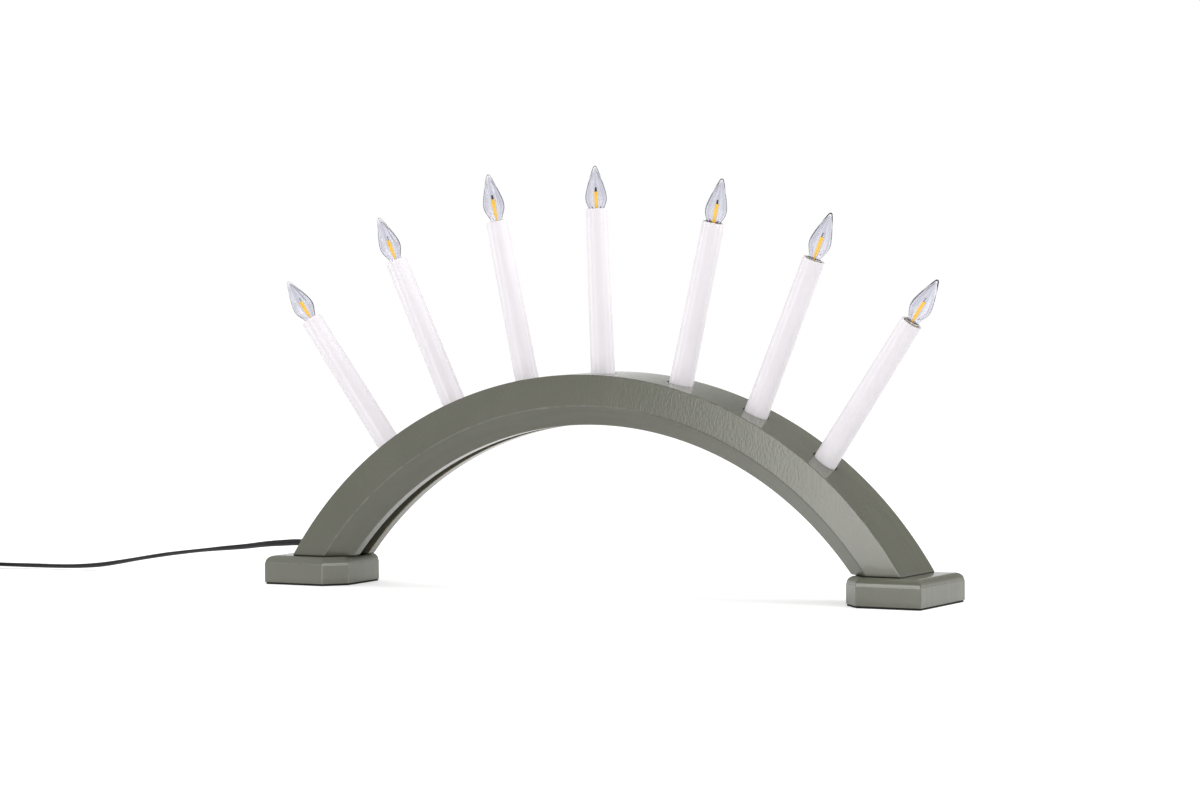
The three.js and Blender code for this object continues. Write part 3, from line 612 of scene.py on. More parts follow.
nickel = plain_finish(
    "nickel", tone=(220, 3), colours=((0.8, 0.77, 0.7), (0.9, 0.87, 0.8)), metallic=0.75,
    rough=(0.26, 0.42, *MOST_NOISE), grain=(900, 3, 0.6, (1, 1, 4)), relief=(0.02, 0.5))
pin_metal = np.vstack([
    [[0, 0.2], [1.75, 0.2], [1.75, PIN_SLEEVE], [PIN_RADIUS, PIN_SLEEVE + 0.3]],
    arc((0, PIN_LENGTH - PIN_TIP), (PIN_RADIUS, PIN_TIP), QUARTER),
])
pin_cover = np.array([
    [1.8, 0.3], [1.95, 0.3], [1.85, 5.0],
    [1.9, PIN_SLEEVE - 0.4], [1.85, PIN_SLEEVE - 0.05], [1.8, PIN_SLEEVE - 0.05]])
plug_pieces = [plug]
for side, word in ((-1, "near"), (1, "far")):
    metal = solid("plug_pin_" + word + "_metal", pin_grid(pin_metal, side))
    cover = solid("plug_pin_" + word + "_cover", pin_grid(pin_cover, side), ring=True)
    settle(metal, STAND, "nickel", nickel, "plug_pin_" + word)
    settle(cover, STAND, "black_flex", black_moulded)
    plug_pieces += [metal, cover]
print("pieces on the lead:", 2 + len(plug_pieces))

# %% [markdown]
# ## The paint
# The arch and the feet are wood under a satin grey-green paint. The paint was rolled on, so it
# has a fine orange peel with short upright strokes, small changes of tone, and a gloss that lets
# the candles mirror softly on the outer face. The paint doesn't reach into the holes, and at the
# mouth of the groove the bare wood shows in chips. Light and shade are also painted into the
# colour: highlights along the edges, lighter chamfers and feet, and dark shade in the holes, the
# groove, the seam over each foot and a crease. Masks on the points say where all this is.

# %% Satin paint
PAINT_LOW, PAINT_HIGH = (0.098, 0.1, 0.071), (0.109, 0.111, 0.08)
PAINT_HIGHLIGHT, PAINT_STREAK = (0.23, 0.233, 0.205), (0.05, 0.052, 0.033)
SHADE_AND_DARK_WOOD, WOOD_RAW = (0.028, 0.026, 0.018), (0.27, 0.155, 0.07)


def paint_finish():
    """Tone, streaks, painted highlights on edges with some wear, painted light, painted shade and bare
    wood, and chips lie over each other in that order. The relief is orange peel with upright strokes
    on the arch and level brush lines on the feet."""
    material, graph, output, at = new_finish("satin_paint")
    tone = noise(graph, at, 28, 4, 0.55)
    streak = noise(graph, at, 190, 4, 0.6, (0.05, 1, 0.05))
    stroke = noise(graph, at, 840, 2, 0.5, (1, 1, 0.5))
    brushed = noise(graph, at, 900, 2, 0.5, (0.08, 0.08, 1))
    peel = noise(graph, at, 300, 2, 0.5)
    chips = noise(graph, at, 520, 4, 0.65, (1, 1.6, 1))
    glint_and_wear = product(graph, mask(graph, "edge"), noise(graph, at, 150, 3))
    chipped = product(graph, mask(graph, "chipped"), chips)
    colour = between(graph, tone, PAINT_LOW, PAINT_HIGH, *MOST_NOISE)
    colour = blend(graph, between(graph, streak, 0.24, 0.0, 0.3, 0.6), colour, PAINT_STREAK)
    # painted highlight along the edges, with some wear
    colour = between(graph, glint_and_wear, colour, PAINT_HIGHLIGHT, 0.12, 0.6)
    # painted light: lighter chamfers and feet
    colour = blend(graph, mask(graph, "haze"), colour, PAINT_HIGHLIGHT)
    # painted shade: dark in the holes, the groove, the seam over the feet and the crease
    colour = blend(graph, mask(graph, "bare"), colour, SHADE_AND_DARK_WOOD)
    colour = between(graph, chipped, colour, WOOD_RAW, 0.46, 0.54)
    normal = bump(graph, peel, 0.012, 0.3)
    normal = bump(graph, product(graph, stroke, mask(graph, "rolled")), 0.22, 1.0, normal)
    normal = bump(graph, product(graph, brushed, mask(graph, "lined")), 0.05, 0.5, normal)
    rough = between(graph, peel, 0.2, 0.26, *MOST_NOISE)
    shade(graph, output, base_color=colour, roughness=rough, normal=normal,
          coat_weight=0.42, coat_roughness=0.045, coat_normal=normal)
    return material


paint = paint_finish()
print("paint ready")

# %% [markdown]
# ## The arch
# The arch is one section carried round a ring: a flat outer face, flat front and back, wide
# chamfers inside and a narrow inner face with a wiring groove. A ring swept with the section's
# own corners rounded gives the thin bright lines that paint makes on an edge. Each line of the
# section stops where it meets the foot, so its end angle follows from its own radius. The holes
# for the candles, the wires and the lead are drilled afterwards, because a hole across a curved
# face is hard to write as one grid.

# %% Section of the arch
CORNER_MARGIN = 0.4
LONGEST_SIDE = 2.0


def rounded_corners(corners, radii, steps):
    """A closed outline with rounded corners. Each corner is a curve that leaves one side and
    meets the next the radius times the tangent of half the turn away from the corner. One more
    point lies a margin beyond each end of the curve, so that a mask can stay near the corner."""
    p = np.asarray(corners, float)
    before, after = unit(np.roll(p, 1, 0) - p), unit(np.roll(p, -1, 0) - p)
    turn = math.pi - np.arccos((before * after).sum(1))
    reach = (np.asarray(radii) * np.tan(turn / 2))[:, None, None]
    t = np.linspace(0, 1, steps)[None, :, None]
    p, before, after = p[:, None], before[:, None], after[:, None]
    curve = (1 - t) ** 2 * (p + before * reach) + 2 * t * (1 - t) * p + t**2 * (p + after * reach)
    near = p + before * (reach + CORNER_MARGIN), p + after * (reach + CORNER_MARGIN)
    return np.concatenate([near[0], curve, near[1]], 1).reshape(-1, 2)


def divided(outline, longest):
    """The same closed outline with points added evenly, so that no side is longer than that."""
    loop = np.vstack([outline, outline[:1]])
    counts = np.ceil(np.linalg.norm(np.diff(loop, axis=0), axis=1) / longest).astype(int).clip(1)
    start = np.repeat(np.arange(len(outline)), counts)
    step = np.arange(counts.sum()) - np.repeat(np.cumsum(counts) - counts, counts)
    share = (step / counts[start])[:, None]
    return loop[start] * (1 - share) + loop[start + 1] * share


section_half = np.array([
    [OUTER_RADIUS, HALF_DEPTH], [CHAMFER_RADIUS, HALF_DEPTH], [INNER_RADIUS, INNER_HALF],
    [INNER_RADIUS, GROOVE_HALF], [GROOVE_FLOOR, GROOVE_HALF]])
section_radii = np.array([0.6, 0.8, 0.45, 0.5, 0.6])
section_corners = np.vstack([section_half, section_half[::-1] * [1, -1]])
section = rounded_corners(section_corners, np.concatenate([section_radii, section_radii[::-1]]), 7)
section = divided(section, LONGEST_SIDE)
print("points round the section:", len(section))

# %% Body of the arch
END_BREAK = 1.0
ARCH_STEPS = 281


def arch_grid():
    """Angle equals a share from -1 to 1 times the end angle of that line of the section, the
    arc cosine of the end's height over its radius. The last rows draw in to break the end's edge."""
    around = np.roll(section, -1, 0) - np.roll(section, 1, 0)
    normal = unit(np.stack([around[:, 1], -around[:, 0]], -1))
    outward = np.sign((normal * (section - section.mean(0))).sum())
    bend = np.linspace(0, math.pi / 2, 5)[:, None]
    drawn = section[None] - END_BREAK * (1 - np.cos(bend))[..., None] * normal * outward
    height = FOOT_TOP + END_BREAK * (1 - np.sin(bend))
    end = np.arccos((height - RING_CENTRE) / drawn[..., 0])
    share = np.linspace(-1, 1, ARCH_STEPS)[:, None]
    main = on_ring(section[None, :, 0], share * end[:1], section[None, :, 1])
    right = on_ring(drawn[1:, :, 0], end[1:], drawn[1:, :, 1])
    left = on_ring(drawn[1:, :, 0], -end[1:], drawn[1:, :, 1])[::-1]
    return np.concatenate([left, main, right])


body_grid = arch_grid()
first_row = np.arange(body_grid.shape[1])
last_row = first_row + (body_grid.shape[0] - 1) * body_grid.shape[1]
arch = solid("arch_body", body_grid, caps=[first_row, last_row])
print("arch faces before drilling:", len(arch.data.polygons))

# %% Drill the arch
HOLE_RADIUS, WIRE_HOLE, LEAD_HOLE = SLEEVE_FOOT + 0.8, 3.5, 4.0
HOLE_START, HOLE_END, LEAD_START, LEAD_END = 221, 275, 181, 240
MOUTH_RADIUS, MOUTH_START, MOUTH_END = HOLE_RADIUS + 0.3, 253, 274
MOUTH_BREAK = [[HOLE_RADIUS, 259.7], [MOUTH_RADIUS, 260.1]]
MOUTH_SHIFTS = np.array([0.1, 0.1, 0.1, 0.5, -0.8, -1.0, -1.1]) / OUTER_RADIUS
ARCH_CREASE = 28
hole_profile = [
    [0, HOLE_START], [WIRE_HOLE, HOLE_START], [WIRE_HOLE, LEDGE], [HOLE_RADIUS, LEDGE],
    *MOUTH_BREAK, [MOUTH_RADIUS, HOLE_END], [0, HOLE_END]]
mouth_profile = [
    [0, MOUTH_START], [HOLE_RADIUS, MOUTH_START], *MOUTH_BREAK, [MOUTH_RADIUS, MOUTH_END], [0, MOUTH_END]]
lead_profile = [[0, LEAD_START], [LEAD_HOLE, LEAD_START], [LEAD_HOLE, LEAD_END], [0, LEAD_END]]


def lean(grid, angle, base):
    """Turns a grid made along Z towards X by an angle and moves it to its base."""
    return turned(grid, angle, 2, 0) + base


def ring_bits(profile, sides, angles):
    """Drill bits that point out from the ring's centre, one at each angle."""
    return [lean(lathe(profile, sides), angle, [0, 0, RING_CENTRE]) for angle in angles]


def drill(piece, tools):
    """Takes the shapes of the tools out of a piece. The tools of one cut don't touch each other."""
    bits = solid("bits", tools)
    cut = piece.modifiers.new("drilled", "BOOLEAN")
    cut.operation, cut.solver, cut.object = "DIFFERENCE", "EXACT", bits
    ready = piece.evaluated_get(bpy.context.evaluated_depsgraph_get())
    drilled = bpy.data.meshes.new_from_object(ready)
    piece.modifiers.clear()
    piece.data = drilled
    bpy.data.objects.remove(bits)
    weld(piece.data)


lead_bit = lean(lathe(lead_profile, 48), -math.pi / 2, [0, 0, RELIEF_HEIGHT])
drill(arch, [*ring_bits(hole_profile, 64, HOLE_ANGLES), lead_bit])
drill(arch, ring_bits(mouth_profile, 60, HOLE_ANGLES + MOUTH_SHIFTS))
round_off(arch.data, ARCH_CREASE)
print("arch faces after drilling:", len(arch.data.polygons))

# %% Masks and finish of the arch
EDGE_GLINT_AND_WEAR, EDGE_WIDTH, CHIP_WIDTH, SEAM_SHADOW_HEIGHT, GROOVE_SHADE = 0.6, 0.8, 1.4, 1.1, 0.07
CREASE_SHADE, CREASE_WIDTH, CREASE_START, CREASE_SPAN = 0.5, 0.5, 0.05, 0.3
# painted light: the chamfers get lighter towards the left leg
CHAMFER_PAINTED_LIGHT, PAINTED_LIGHT_START, PAINTED_LIGHT_SPAN = 0.23, -1.05, 1.48
STROKE_CALMS = ((0.55, 20.0, 80.0), (0.15, 26.0, 45.0))
GROOVE_SIDE, GROOVE_MOUTH, GROOVE_TOP = GROOVE_HALF + 0.15, INNER_RADIUS + 0.4, OUTER_RADIUS - 0.8
HOLE_SIDE, HOLE_TOP = HOLE_RADIUS + 0.1, OUTER_RADIUS - 0.25
CHAMFER_SIDE, CHAMFER_TOP = INNER_HALF - 0.1, CHAMFER_RADIUS - 0.2
FRONT_SIDE = HALF_DEPTH - 0.05
spot = places(arch)
depth, height = np.abs(spot[:, 1]), spot[:, 2]
radius = np.hypot(spot[:, 0], height - RING_CENTRE)
angle = np.arctan2(spot[:, 0], height - RING_CENTRE)
corners = section_half[:3]
corner_gap = np.hypot(radius[:, None] - corners[:, 0], depth[:, None] - corners[:, 1])
mouth_gap = np.hypot(radius - INNER_RADIUS, depth - GROOVE_HALF)
in_groove = (depth < GROOVE_SIDE) & (radius > GROOVE_MOUTH) & (radius < GROOVE_TOP)
in_holes = (depth < HOLE_SIDE) & (radius > GROOVE_FLOOR) & (radius < HOLE_TOP)
on_chamfer = (depth > CHAMFER_SIDE) & (radius < CHAMFER_TOP)
rightwards = ease((angle - CREASE_START) / CREASE_SPAN)
# edge mask: painted highlight along the section's corners, with some wear; on the right half the front's
# corner gets painted shade instead
edge_glint_and_wear = EDGE_GLINT_AND_WEAR * bell(corner_gap, EDGE_WIDTH)
edge_glint_and_wear[:, 1] *= 1 - rightwards
# painted shade along the front's corner on the right half
crease = CREASE_SHADE * bell(corner_gap[:, 1], CREASE_WIDTH) * rightwards
# painted shadow along the seam where the arch stands on a foot
seam = 1 - ease((height - FOOT_TOP) / SEAM_SHADOW_HEIGHT)
# painted shade: the holes dark, the groove a little darker
hole_and_groove_shade = np.where(in_holes, 1.0, GROOVE_SHADE * in_groove)
strokes = (depth > FRONT_SIDE).astype(float)
for least, start, span in STROKE_CALMS:
    strokes *= least + (1 - least) * ease((height - start) / span)
paint_masks(
    arch, edge=edge_glint_and_wear.max(1), bare=np.max([hole_and_groove_shade, seam, crease], 0),
    chipped=bell(mouth_gap, CHIP_WIDTH), rolled=strokes, lined=0,
    haze=CHAMFER_PAINTED_LIGHT * on_chamfer * (1 - ease((angle - PAINTED_LIGHT_START) / PAINTED_LIGHT_SPAN)))
settle(arch, STAND, "painted_wood", paint, "arch")
print("bare points:", int((in_groove | in_holes).sum()))

# %% [markdown]
# ## Feet and pads
# Each foot is a block with its two inner corners cut off. Its top edge is rounded over, with the
# hairline step that a router bit leaves under the round. Rings of one rounded outline, drawn in
# by a distance at each height, make the whole block; the thin foam pad below is made the same way.

# %% Outlines of feet and pads
FOOT_CORNERS = {
    "left": np.array([
        [-180.9, 19.0], [-193.0, 33.5], [-237.5, 33.5],
        [-237.5, -33.5], [-193.0, -33.5], [-180.6, -20.2]]),
    "right": np.array([
        [180.8, -20.8], [193.2, -33.5], [237.5, -33.5],
        [237.5, 33.5], [193.2, 33.5], [180.8, 20.8]]),
}
SIDE_SHARES = np.array([0.012, 0.03, 0.08, 0.3, 0.7, 0.92, 0.97, 0.988])[:, None]


def drawn_in(corners, distance, radius, steps):
    """A convex outline moved inwards by a distance, with round corners: the corners of the
    outline moved in by distance plus radius, each with an arc of that radius round it. Points at
    fixed shares of each side lie close to its ends, so that a mask can stay near a corner."""
    side = unit(np.roll(corners, -1, 0) - corners)
    out = np.stack([side[:, 1], -side[:, 0]], -1)
    before = np.roll(out, 1, 0)
    spread = (before + out) / (1 + (before * out).sum(1, keepdims=True))
    middle = corners - spread * (distance + radius)
    first = np.arctan2(before[:, 1], before[:, 0])
    turn = (np.arctan2(out[:, 1], out[:, 0]) - first) % math.tau
    angle = first[:, None] + turn[:, None] * np.linspace(0, 1, steps)
    arcs = middle[:, None] + radius * compass(angle)
    start, end = arcs[:, -1:], np.roll(arcs[:, :1], -1, 0)
    return np.concatenate([arcs, start + (end - start) * SIDE_SHARES], 1).reshape(-1, 2)


def stacked(corners, levels, radius, steps=6):
    """Rings of the outline, one for each distance inwards and height, closed at both ends."""
    rings = np.stack([drawn_in(corners, inwards, radius, steps) for inwards, height in levels])
    heights = np.broadcast_to(np.array(levels)[:, 1, None, None], (*rings.shape[:2], 1))
    return closed(np.concatenate([rings, heights], -1))


print("corners of a foot:", len(FOOT_CORNERS["left"]))

# %% Feet
FOOT_ROUND, ROUTER_STEP, FOOT_BREAK, FOOT_CORNER, FOOT_CREASE = 4.75, 0.25, 0.5, 0.5, 24
FOOT_GLINT_AND_WEAR, CORNER_WIDTH = {"left": 1.0, "right": 0.45}, 0.6
RIM_GLINT, RIM_WIDTH = 0.75, 0.35
FOOT_PAINTED_LIGHT, ROUND_PAINTED_LIGHT = {"left": 0.29, "right": 0.1}, {"left": 0.12, "right": 0.0}
LOW_PAINTED_LIGHT, LOW_PAINTED_LIGHT_START, LOW_PAINTED_LIGHT_SPAN = 0.09, 1.0, 9.0
round_start = FOOT_TOP - FOOT_ROUND
foot_levels = np.vstack([
    FOOT_BREAK * (1 - compass(math.pi / 2 - QUARTER[::2])) + [0, PAD_TOP],
    [[0, 5.0], [0, 9.0], [0, 12.0], [0, round_start - 0.7], [0, round_start - 0.25]],
    [[0.06, round_start - 0.06], [ROUTER_STEP, round_start]],
    arc((ROUTER_STEP + FOOT_ROUND, round_start), (-FOOT_ROUND, FOOT_ROUND), QUARTER[1:]),
    [[8.0, FOOT_TOP], [14.0, FOOT_TOP]],
])
for word, corners in FOOT_CORNERS.items():
    foot_grid = stacked(corners, foot_levels, FOOT_CORNER)
    foot = solid("foot_" + word + "_block", foot_grid, crease=FOOT_CREASE)
    spot = places(foot)
    height = spot[:, 2]
    corner_gap = np.linalg.norm(spot[:, None, :2] - corners[None], axis=2).min(1)
    # edge mask: painted highlight along the router step under the round and along the corners, with some
    # wear
    rim = RIM_GLINT * bell(height - round_start, RIM_WIDTH)
    # painted light on the feet: lighter all over, most on the left foot, more near the floor and on the
    # left foot's round
    low_haze = LOW_PAINTED_LIGHT * (1 - ease((height - LOW_PAINTED_LIGHT_START) / LOW_PAINTED_LIGHT_SPAN))
    round_haze = ROUND_PAINTED_LIGHT[word] * (height > round_start + 0.4)
    paint_masks(
        foot, edge=FOOT_GLINT_AND_WEAR[word] * np.maximum(bell(corner_gap, CORNER_WIDTH), rim), lined=1,
        haze=FOOT_PAINTED_LIGHT[word] + low_haze + round_haze, bare=0, chipped=0, rolled=0)
    settle(foot, STAND, "painted_wood", paint, "foot_" + word)
print("foot rows:", len(foot_levels) + 2)

# %% Pads
PAD_CORNER = 1.2
black_foam = plain_finish(
    "black_foam", tone=(120, 2), colours=((0.009, 0.009, 0.0085), (0.02, 0.0195, 0.018)),
    rough=0.92, grain=(1900, 4, 0.7), relief=(0.15, 0.9))
pad_levels = [(0.75, 0), (0.56, 0.06), (0.5, 0.25), (0.5, 0.95), (0.56, 1.12), (0.75, PAD_TOP)]
for word, corners in FOOT_CORNERS.items():
    pad = solid("pad_" + word, stacked(corners, pad_levels, PAD_CORNER))
    settle(pad, STAND, "foam_pad", black_foam, "foot_pad_" + word)
print("pads ready")

# %% [markdown]
# ## Candle sleeves
# A sleeve is a thin tapered tube of white plastic. Its rounded rim is thick and reaches in over
# the holder. It is moulded on a long core, so it is smooth and glossy, with a faint cool tint. A
# mask paints light into its colour near the arch, where less light falls, so it is paler there.
# Each stands loosely in its hole and leans its own way.

# %% Where each candle stands
SLEEVE_LIFT = 0.3
candle_tilts = HOLE_ANGLES + CANDLE_LEANS
lifts = SLEEVE_LIFT + SLEEVE_FOOT * np.sin(np.abs(CANDLE_LEANS))
pivots = on_ring(LEDGE + lifts + HOLE_DEPTH / 2, HOLE_ANGLES)
upward = np.column_stack([np.sin(candle_tilts), 0 * candle_tilts, np.cos(candle_tilts)])
candle_bases = pivots - upward * HOLE_DEPTH / 2


def on_candle(grid, number):
    """A grid made upright on the origin, leaned and moved to the place of a candle."""
    return lean(grid, candle_tilts[number - 1], candle_bases[number - 1])


def off_candle(piece, number):
    """The other way: the points of a piece as if its candle stood upright on the origin."""
    return turned(places(piece) - candle_bases[number - 1], -candle_tilts[number - 1], 2, 0)


print("candle tilts, degrees:", np.degrees(candle_tilts).round(1))

# %% Sleeves
RIM_ROUND, SLEEVE_WALL, FOOT_CHAMFER = 0.38, 1.15, 0.15
DRAWN_TOP, DRAWN_MOUTH, RIM_INNER, RIM_DEPTH = 7.05, 7.86, 5.4, 2.0
PALE_START, PALE_SPAN = 14.0, 34.0
candle_plastic = plain_finish(
    "candle_plastic", tone=(45, 2), colours=((0.825, 0.79, 0.825), (0.845, 0.81, 0.845)),
    rough=(0.12, 0.16, *MOST_NOISE), grain=(90, 2), relief=(0.004, 0.2), low=(0.96, 0.92, 0.96))
rim_start = SLEEVE_LENGTH - RIM_ROUND
rim_middle, rim_half = (DRAWN_TOP + RIM_INNER) / 2, (DRAWN_TOP - RIM_INNER) / 2
inner_top, inner_foot = DRAWN_TOP - SLEEVE_WALL, SLEEVE_FOOT - SLEEVE_WALL
low_heights = np.array([16.0, 21.0, 27.0, 35.0, 46.0, 60.0])
low_radii = np.interp(low_heights, [HOLE_DEPTH, SLEEVE_LENGTH], [DRAWN_MOUTH, DRAWN_TOP])
sleeve_profile = np.vstack([
    [[SLEEVE_FOOT - FOOT_CHAMFER, 0], [SLEEVE_FOOT, FOOT_CHAMFER]],
    np.column_stack([low_radii, low_heights]),
    arc((rim_middle, rim_start), (rim_half, RIM_ROUND), np.linspace(0, math.pi, 11)),
    [[inner_top, rim_start], [inner_top, SLEEVE_LENGTH - RIM_DEPTH]],
    [[inner_foot, FOOT_CHAMFER], [inner_foot + FOOT_CHAMFER, 0]],
])
sleeve_grid = lathe(sleeve_profile, 80)
for number in CANDLES:
    sleeve = solid(f"candle_{number}_sleeve", on_candle(sleeve_grid, number), ring=True)
    height = off_candle(sleeve, number)[:, 2]
    # painted light: the sleeve is paler towards its foot, where less light falls
    paint_masks(sleeve, low=1 - ease((height - PALE_START) / PALE_SPAN))
    settle(sleeve, STAND, "sleeve_plastic", candle_plastic, f"candle_sleeve_{number}")
print("sleeves ready")

# %% [markdown]
# ## Lamp holders
# The holder is an ivory moulding inside the sleeve's top. Its bore has the lamp's thread, a
# helix: the radius swings with the angle less one turn a pitch. The lamp's cap has the same
# helix, a clearance smaller, so the two still mesh when the lamp is turned.

# %% Holders
BORE_RADIUS, BORE_TOP, BORE_FOOT, BORE_THREAD_TOP = 4.78, 118.9, 107.0, 116.4


def threaded(before, radius, heights, thread_ends, fade, after):
    """A turned surface with a thread in the middle of its profile: the rows there have one
    radius, and a swing that eases in and out over the fade at the two ends of the thread."""
    low, high = thread_ends
    swing = THREAD_SWING * ease((heights - low) / fade) * ease((high - heights) / fade)
    profile = np.vstack([before, np.column_stack([np.full_like(heights, radius), heights]), after])
    ripple = np.concatenate([np.zeros(len(before)), swing, np.zeros(len(after))])
    return lathe(profile, 48, ripple, 1, THREAD_PITCH)


ivory_plastic = plain_finish(
    "ivory_plastic", tone=(160, 3), colours=((0.86, 0.82, 0.74), (0.92, 0.88, 0.81)),
    rough=0.42, grain=(1500, 3), relief=(0.03, 0.5))
holder_outside = [
    [0, 93.9], [3.8, 93.9], [3.8, 103.9], [5.6, 103.9],
    [5.6, 120.2], [5.48, 120.5], [5.3, 120.6], [5.25, 120.0]]
holder_inside = [
    [5.0, 106.5], [5.0, 105.5], [1.3, 105.5], [1.3, 103.9], [2.6, 103.9], [2.6, 95.1], [0, 95.1]]
holder_grid = threaded(
    holder_outside, BORE_RADIUS, np.linspace(BORE_TOP, BORE_FOOT, 57),
    (BORE_FOOT, BORE_THREAD_TOP), 1.2, holder_inside)
for number in CANDLES:
    holder = solid(f"candle_{number}_holder", on_candle(holder_grid, number))
    settle(holder, STAND, "holder_plastic", ivory_plastic, f"lamp_holder_{number}")
print("holders ready")

# %% [markdown]
# ## Lamps
# A lamp is a nickel screw cap, a clear glass like a flame, and one yellow stick inside it with
# a thin wire. Lamps stand further in or out of their holders, each by its own number of turns,
# so a lamp's grid is first turned and raised along the thread, then leaned with its candle.

# %% Caps
CAP_RADIUS, CAP_LENGTH, CAP_FLOOR = 4.7, 10.2, -4.3
SHELL_FOOT, SHELL_TOP = -7.6, -1.0
lamp_heights = CAP_TOP + LAMP_TURNS_OUT * THREAD_PITCH


def screwed(grid, number):
    """A lamp's grid, made with its neck at height 0: turned and raised along the thread by this
    lamp's turns, then stood on its candle's base."""
    spun = turned(grid, math.tau * LAMP_TURNS_OUT[number - 1])
    return on_candle(spun + [0, 0, lamp_heights[number - 1]], number)


cap_low = [[0, -CAP_LENGTH], [1.2, -CAP_LENGTH], [1.65, -9.9], [1.7, -9.4], [2.2, -9.3], [4.3, -7.9]]
cap_high = [
    [4.55, -0.7], [CAP_RADIUS, -0.3], [4.62, 0], [4.25, 0], [4.12, -0.2],
    [4.1, CAP_FLOOR], [0, CAP_FLOOR]]
cap_grid = threaded(
    cap_low, CAP_RADIUS - THREAD_SWING, np.linspace(SHELL_FOOT, SHELL_TOP, 37),
    (SHELL_FOOT, SHELL_TOP), 1.0, cap_high)
cap_grid = turned(cap_grid, math.tau * CAP_TOP / THREAD_PITCH)
for number in CANDLES:
    cap = solid(f"lamp_{number}_cap", screwed(cap_grid, number))
    settle(cap, f"lamp_{number}", "nickel", nickel, f"lamp_cap_{number}")
print("caps ready")

# %% Glass finish
GLASS_TINT, GLASS_DEEP, GLASS_DENSITY = (0.76, 0.76, 0.88), (0.3, 0.3, 0.42, 1), 150.0


def glass_finish():
    """Clear glass with a slight ripple: a tint on its inner wall, and a darker one with depth."""
    material, graph, output, at = new_finish("bulb_glass")
    ripple = noise(graph, at, 90, 2)
    colour = blend(graph, mask(graph, "inner"), (1.0, 1.0, 1.0), GLASS_TINT)
    shade(graph, output, base_color=colour, roughness=0.0, ior=1.5, transmission_weight=1.0,
          normal=bump(graph, ripple, 0.02, 0.2))
    tint = node(graph, "VolumeAbsorption", {"Color": GLASS_DEEP, "Density": GLASS_DENSITY})
    graph.links.new(tint.outputs["Volume"], output.inputs["Volume"])
    return material


bulb_glass = glass_finish()
print("glass ready")

# %% Glass
GLASS_OUTLINE = np.array([
    [0, 31.0], [0.55, 30.85], [1.1, 30.3], [2.2, 27.7], [4.2, 22.0], [5.9, 16.4], [6.78, 12.6],
    [6.95, 10.4], [6.75, 8.2], [6.0, 6.0], [4.75, 3.2], [4.1, 1.6], [3.85, 0.4], [3.8, -1.0],
    [3.8, -4.0]])
GLASS_WALL, TIP_WALL, TIP_START, TIP_SPAN = 1.05, 0.4, 20, 11
FLUTES, FLUTE_DEPTH, LEAST_RADIUS = 8, 0.18, 0.12
FLUTE_FOOT, FLUTE_RISE, FLUTE_TOP, FLUTE_FALL = 1, 4, 24, 10
GLASS_TURNS = np.radians([25.2, 27.2, 28.4, 28.4, 27.2, 25.4, 22.5])
TINT_GAP, TINT_MEAN, TINT_SWING = 0.45, 0.6, 0.4


def glass_grid(sides):
    """The flame's outline from its tip to its neck, then back up inside: the inner wall is the
    outline moved in along its own normal, and its flutes are a cosine of the angle."""
    outside = smooth(GLASS_OUTLINE, 6)
    along = unit(np.gradient(outside, axis=0))
    normal = np.stack([-along[:, 1], along[:, 0]], -1)
    wall = GLASS_WALL + TIP_WALL * ease((outside[:, 1:] - TIP_START) / TIP_SPAN)
    inside = outside - normal * wall
    inside[0, 0] = 0
    inside = inside[(inside[:, 0] > LEAST_RADIUS) | (np.arange(len(inside)) == 0)]
    inside = inside[np.concatenate([[True], inside[1:, 1] < inside[0, 1]])]
    height = inside[:, 1]
    fades = ease((height - FLUTE_FOOT) / FLUTE_RISE) * ease((FLUTE_TOP - height) / FLUTE_FALL)
    profile = np.vstack([outside, inside[::-1]])
    ripple = np.concatenate([np.zeros(len(outside)), -FLUTE_DEPTH * fades[::-1]])
    return lathe(profile, sides, ripple, FLUTES)


def inner_tint(glass, number, turn):
    """How much tint a point of a lamp's glass has: none on the outside, and on the inside more in
    the flutes than between them, by the cosine of the flutes times the angle round the lamp."""
    x, y, z = off_candle(glass, number).T
    angle = np.arctan2(y, x) - turn - math.tau * LAMP_TURNS_OUT[number - 1]
    radius, height = GLASS_OUTLINE[::-1].T
    inside = np.hypot(x, y) < np.interp(z - lamp_heights[number - 1], height, radius) - TINT_GAP
    return inside * (TINT_MEAN + TINT_SWING * np.cos(FLUTES * angle))


flame = glass_grid(128)
for number, turn in zip(CANDLES, GLASS_TURNS):
    glass = solid(f"lamp_{number}_glass", screwed(turned(flame, turn), number), crease=60)
    paint_masks(glass, inner=inner_tint(glass, number, turn))
    settle(glass, f"lamp_{number}", "clear_glass", bulb_glass, f"lamp_glass_{number}")
print("glass rows:", flame.shape[0])

# %% Finishes of the filament and its wire
PHOSPHOR_LOW, PHOSPHOR_HIGH = (0.93, 0.47, 0.012), (0.98, 0.58, 0.025)
PHOSPHOR_PAINTED_GLOW, STUB_DARK, NO_GLOW = (1.0, 0.58, 0.02), (0.05, 0.045, 0.03), (0.0, 0.0, 0.0)


def phosphor_finish():
    """Grainy yellow with a painted glow, so that it stays bright inside the glass; its end is dark metal.
    """
    material, graph, output, at = new_finish("phosphor")
    grain = noise(graph, at, 1400, 3)
    stub = mask(graph, "stub")
    colour = between(graph, grain, PHOSPHOR_LOW, PHOSPHOR_HIGH, *MOST_NOISE)
    shade(graph, output, base_color=blend(graph, stub, colour, STUB_DARK), roughness=0.5,
          # painted glow: the filament gives light though it is not lit
          emission_color=blend(graph, stub, PHOSPHOR_PAINTED_GLOW, NO_GLOW), emission_strength=0.75,
          normal=bump(graph, grain, 0.05, 0.5))
    return material


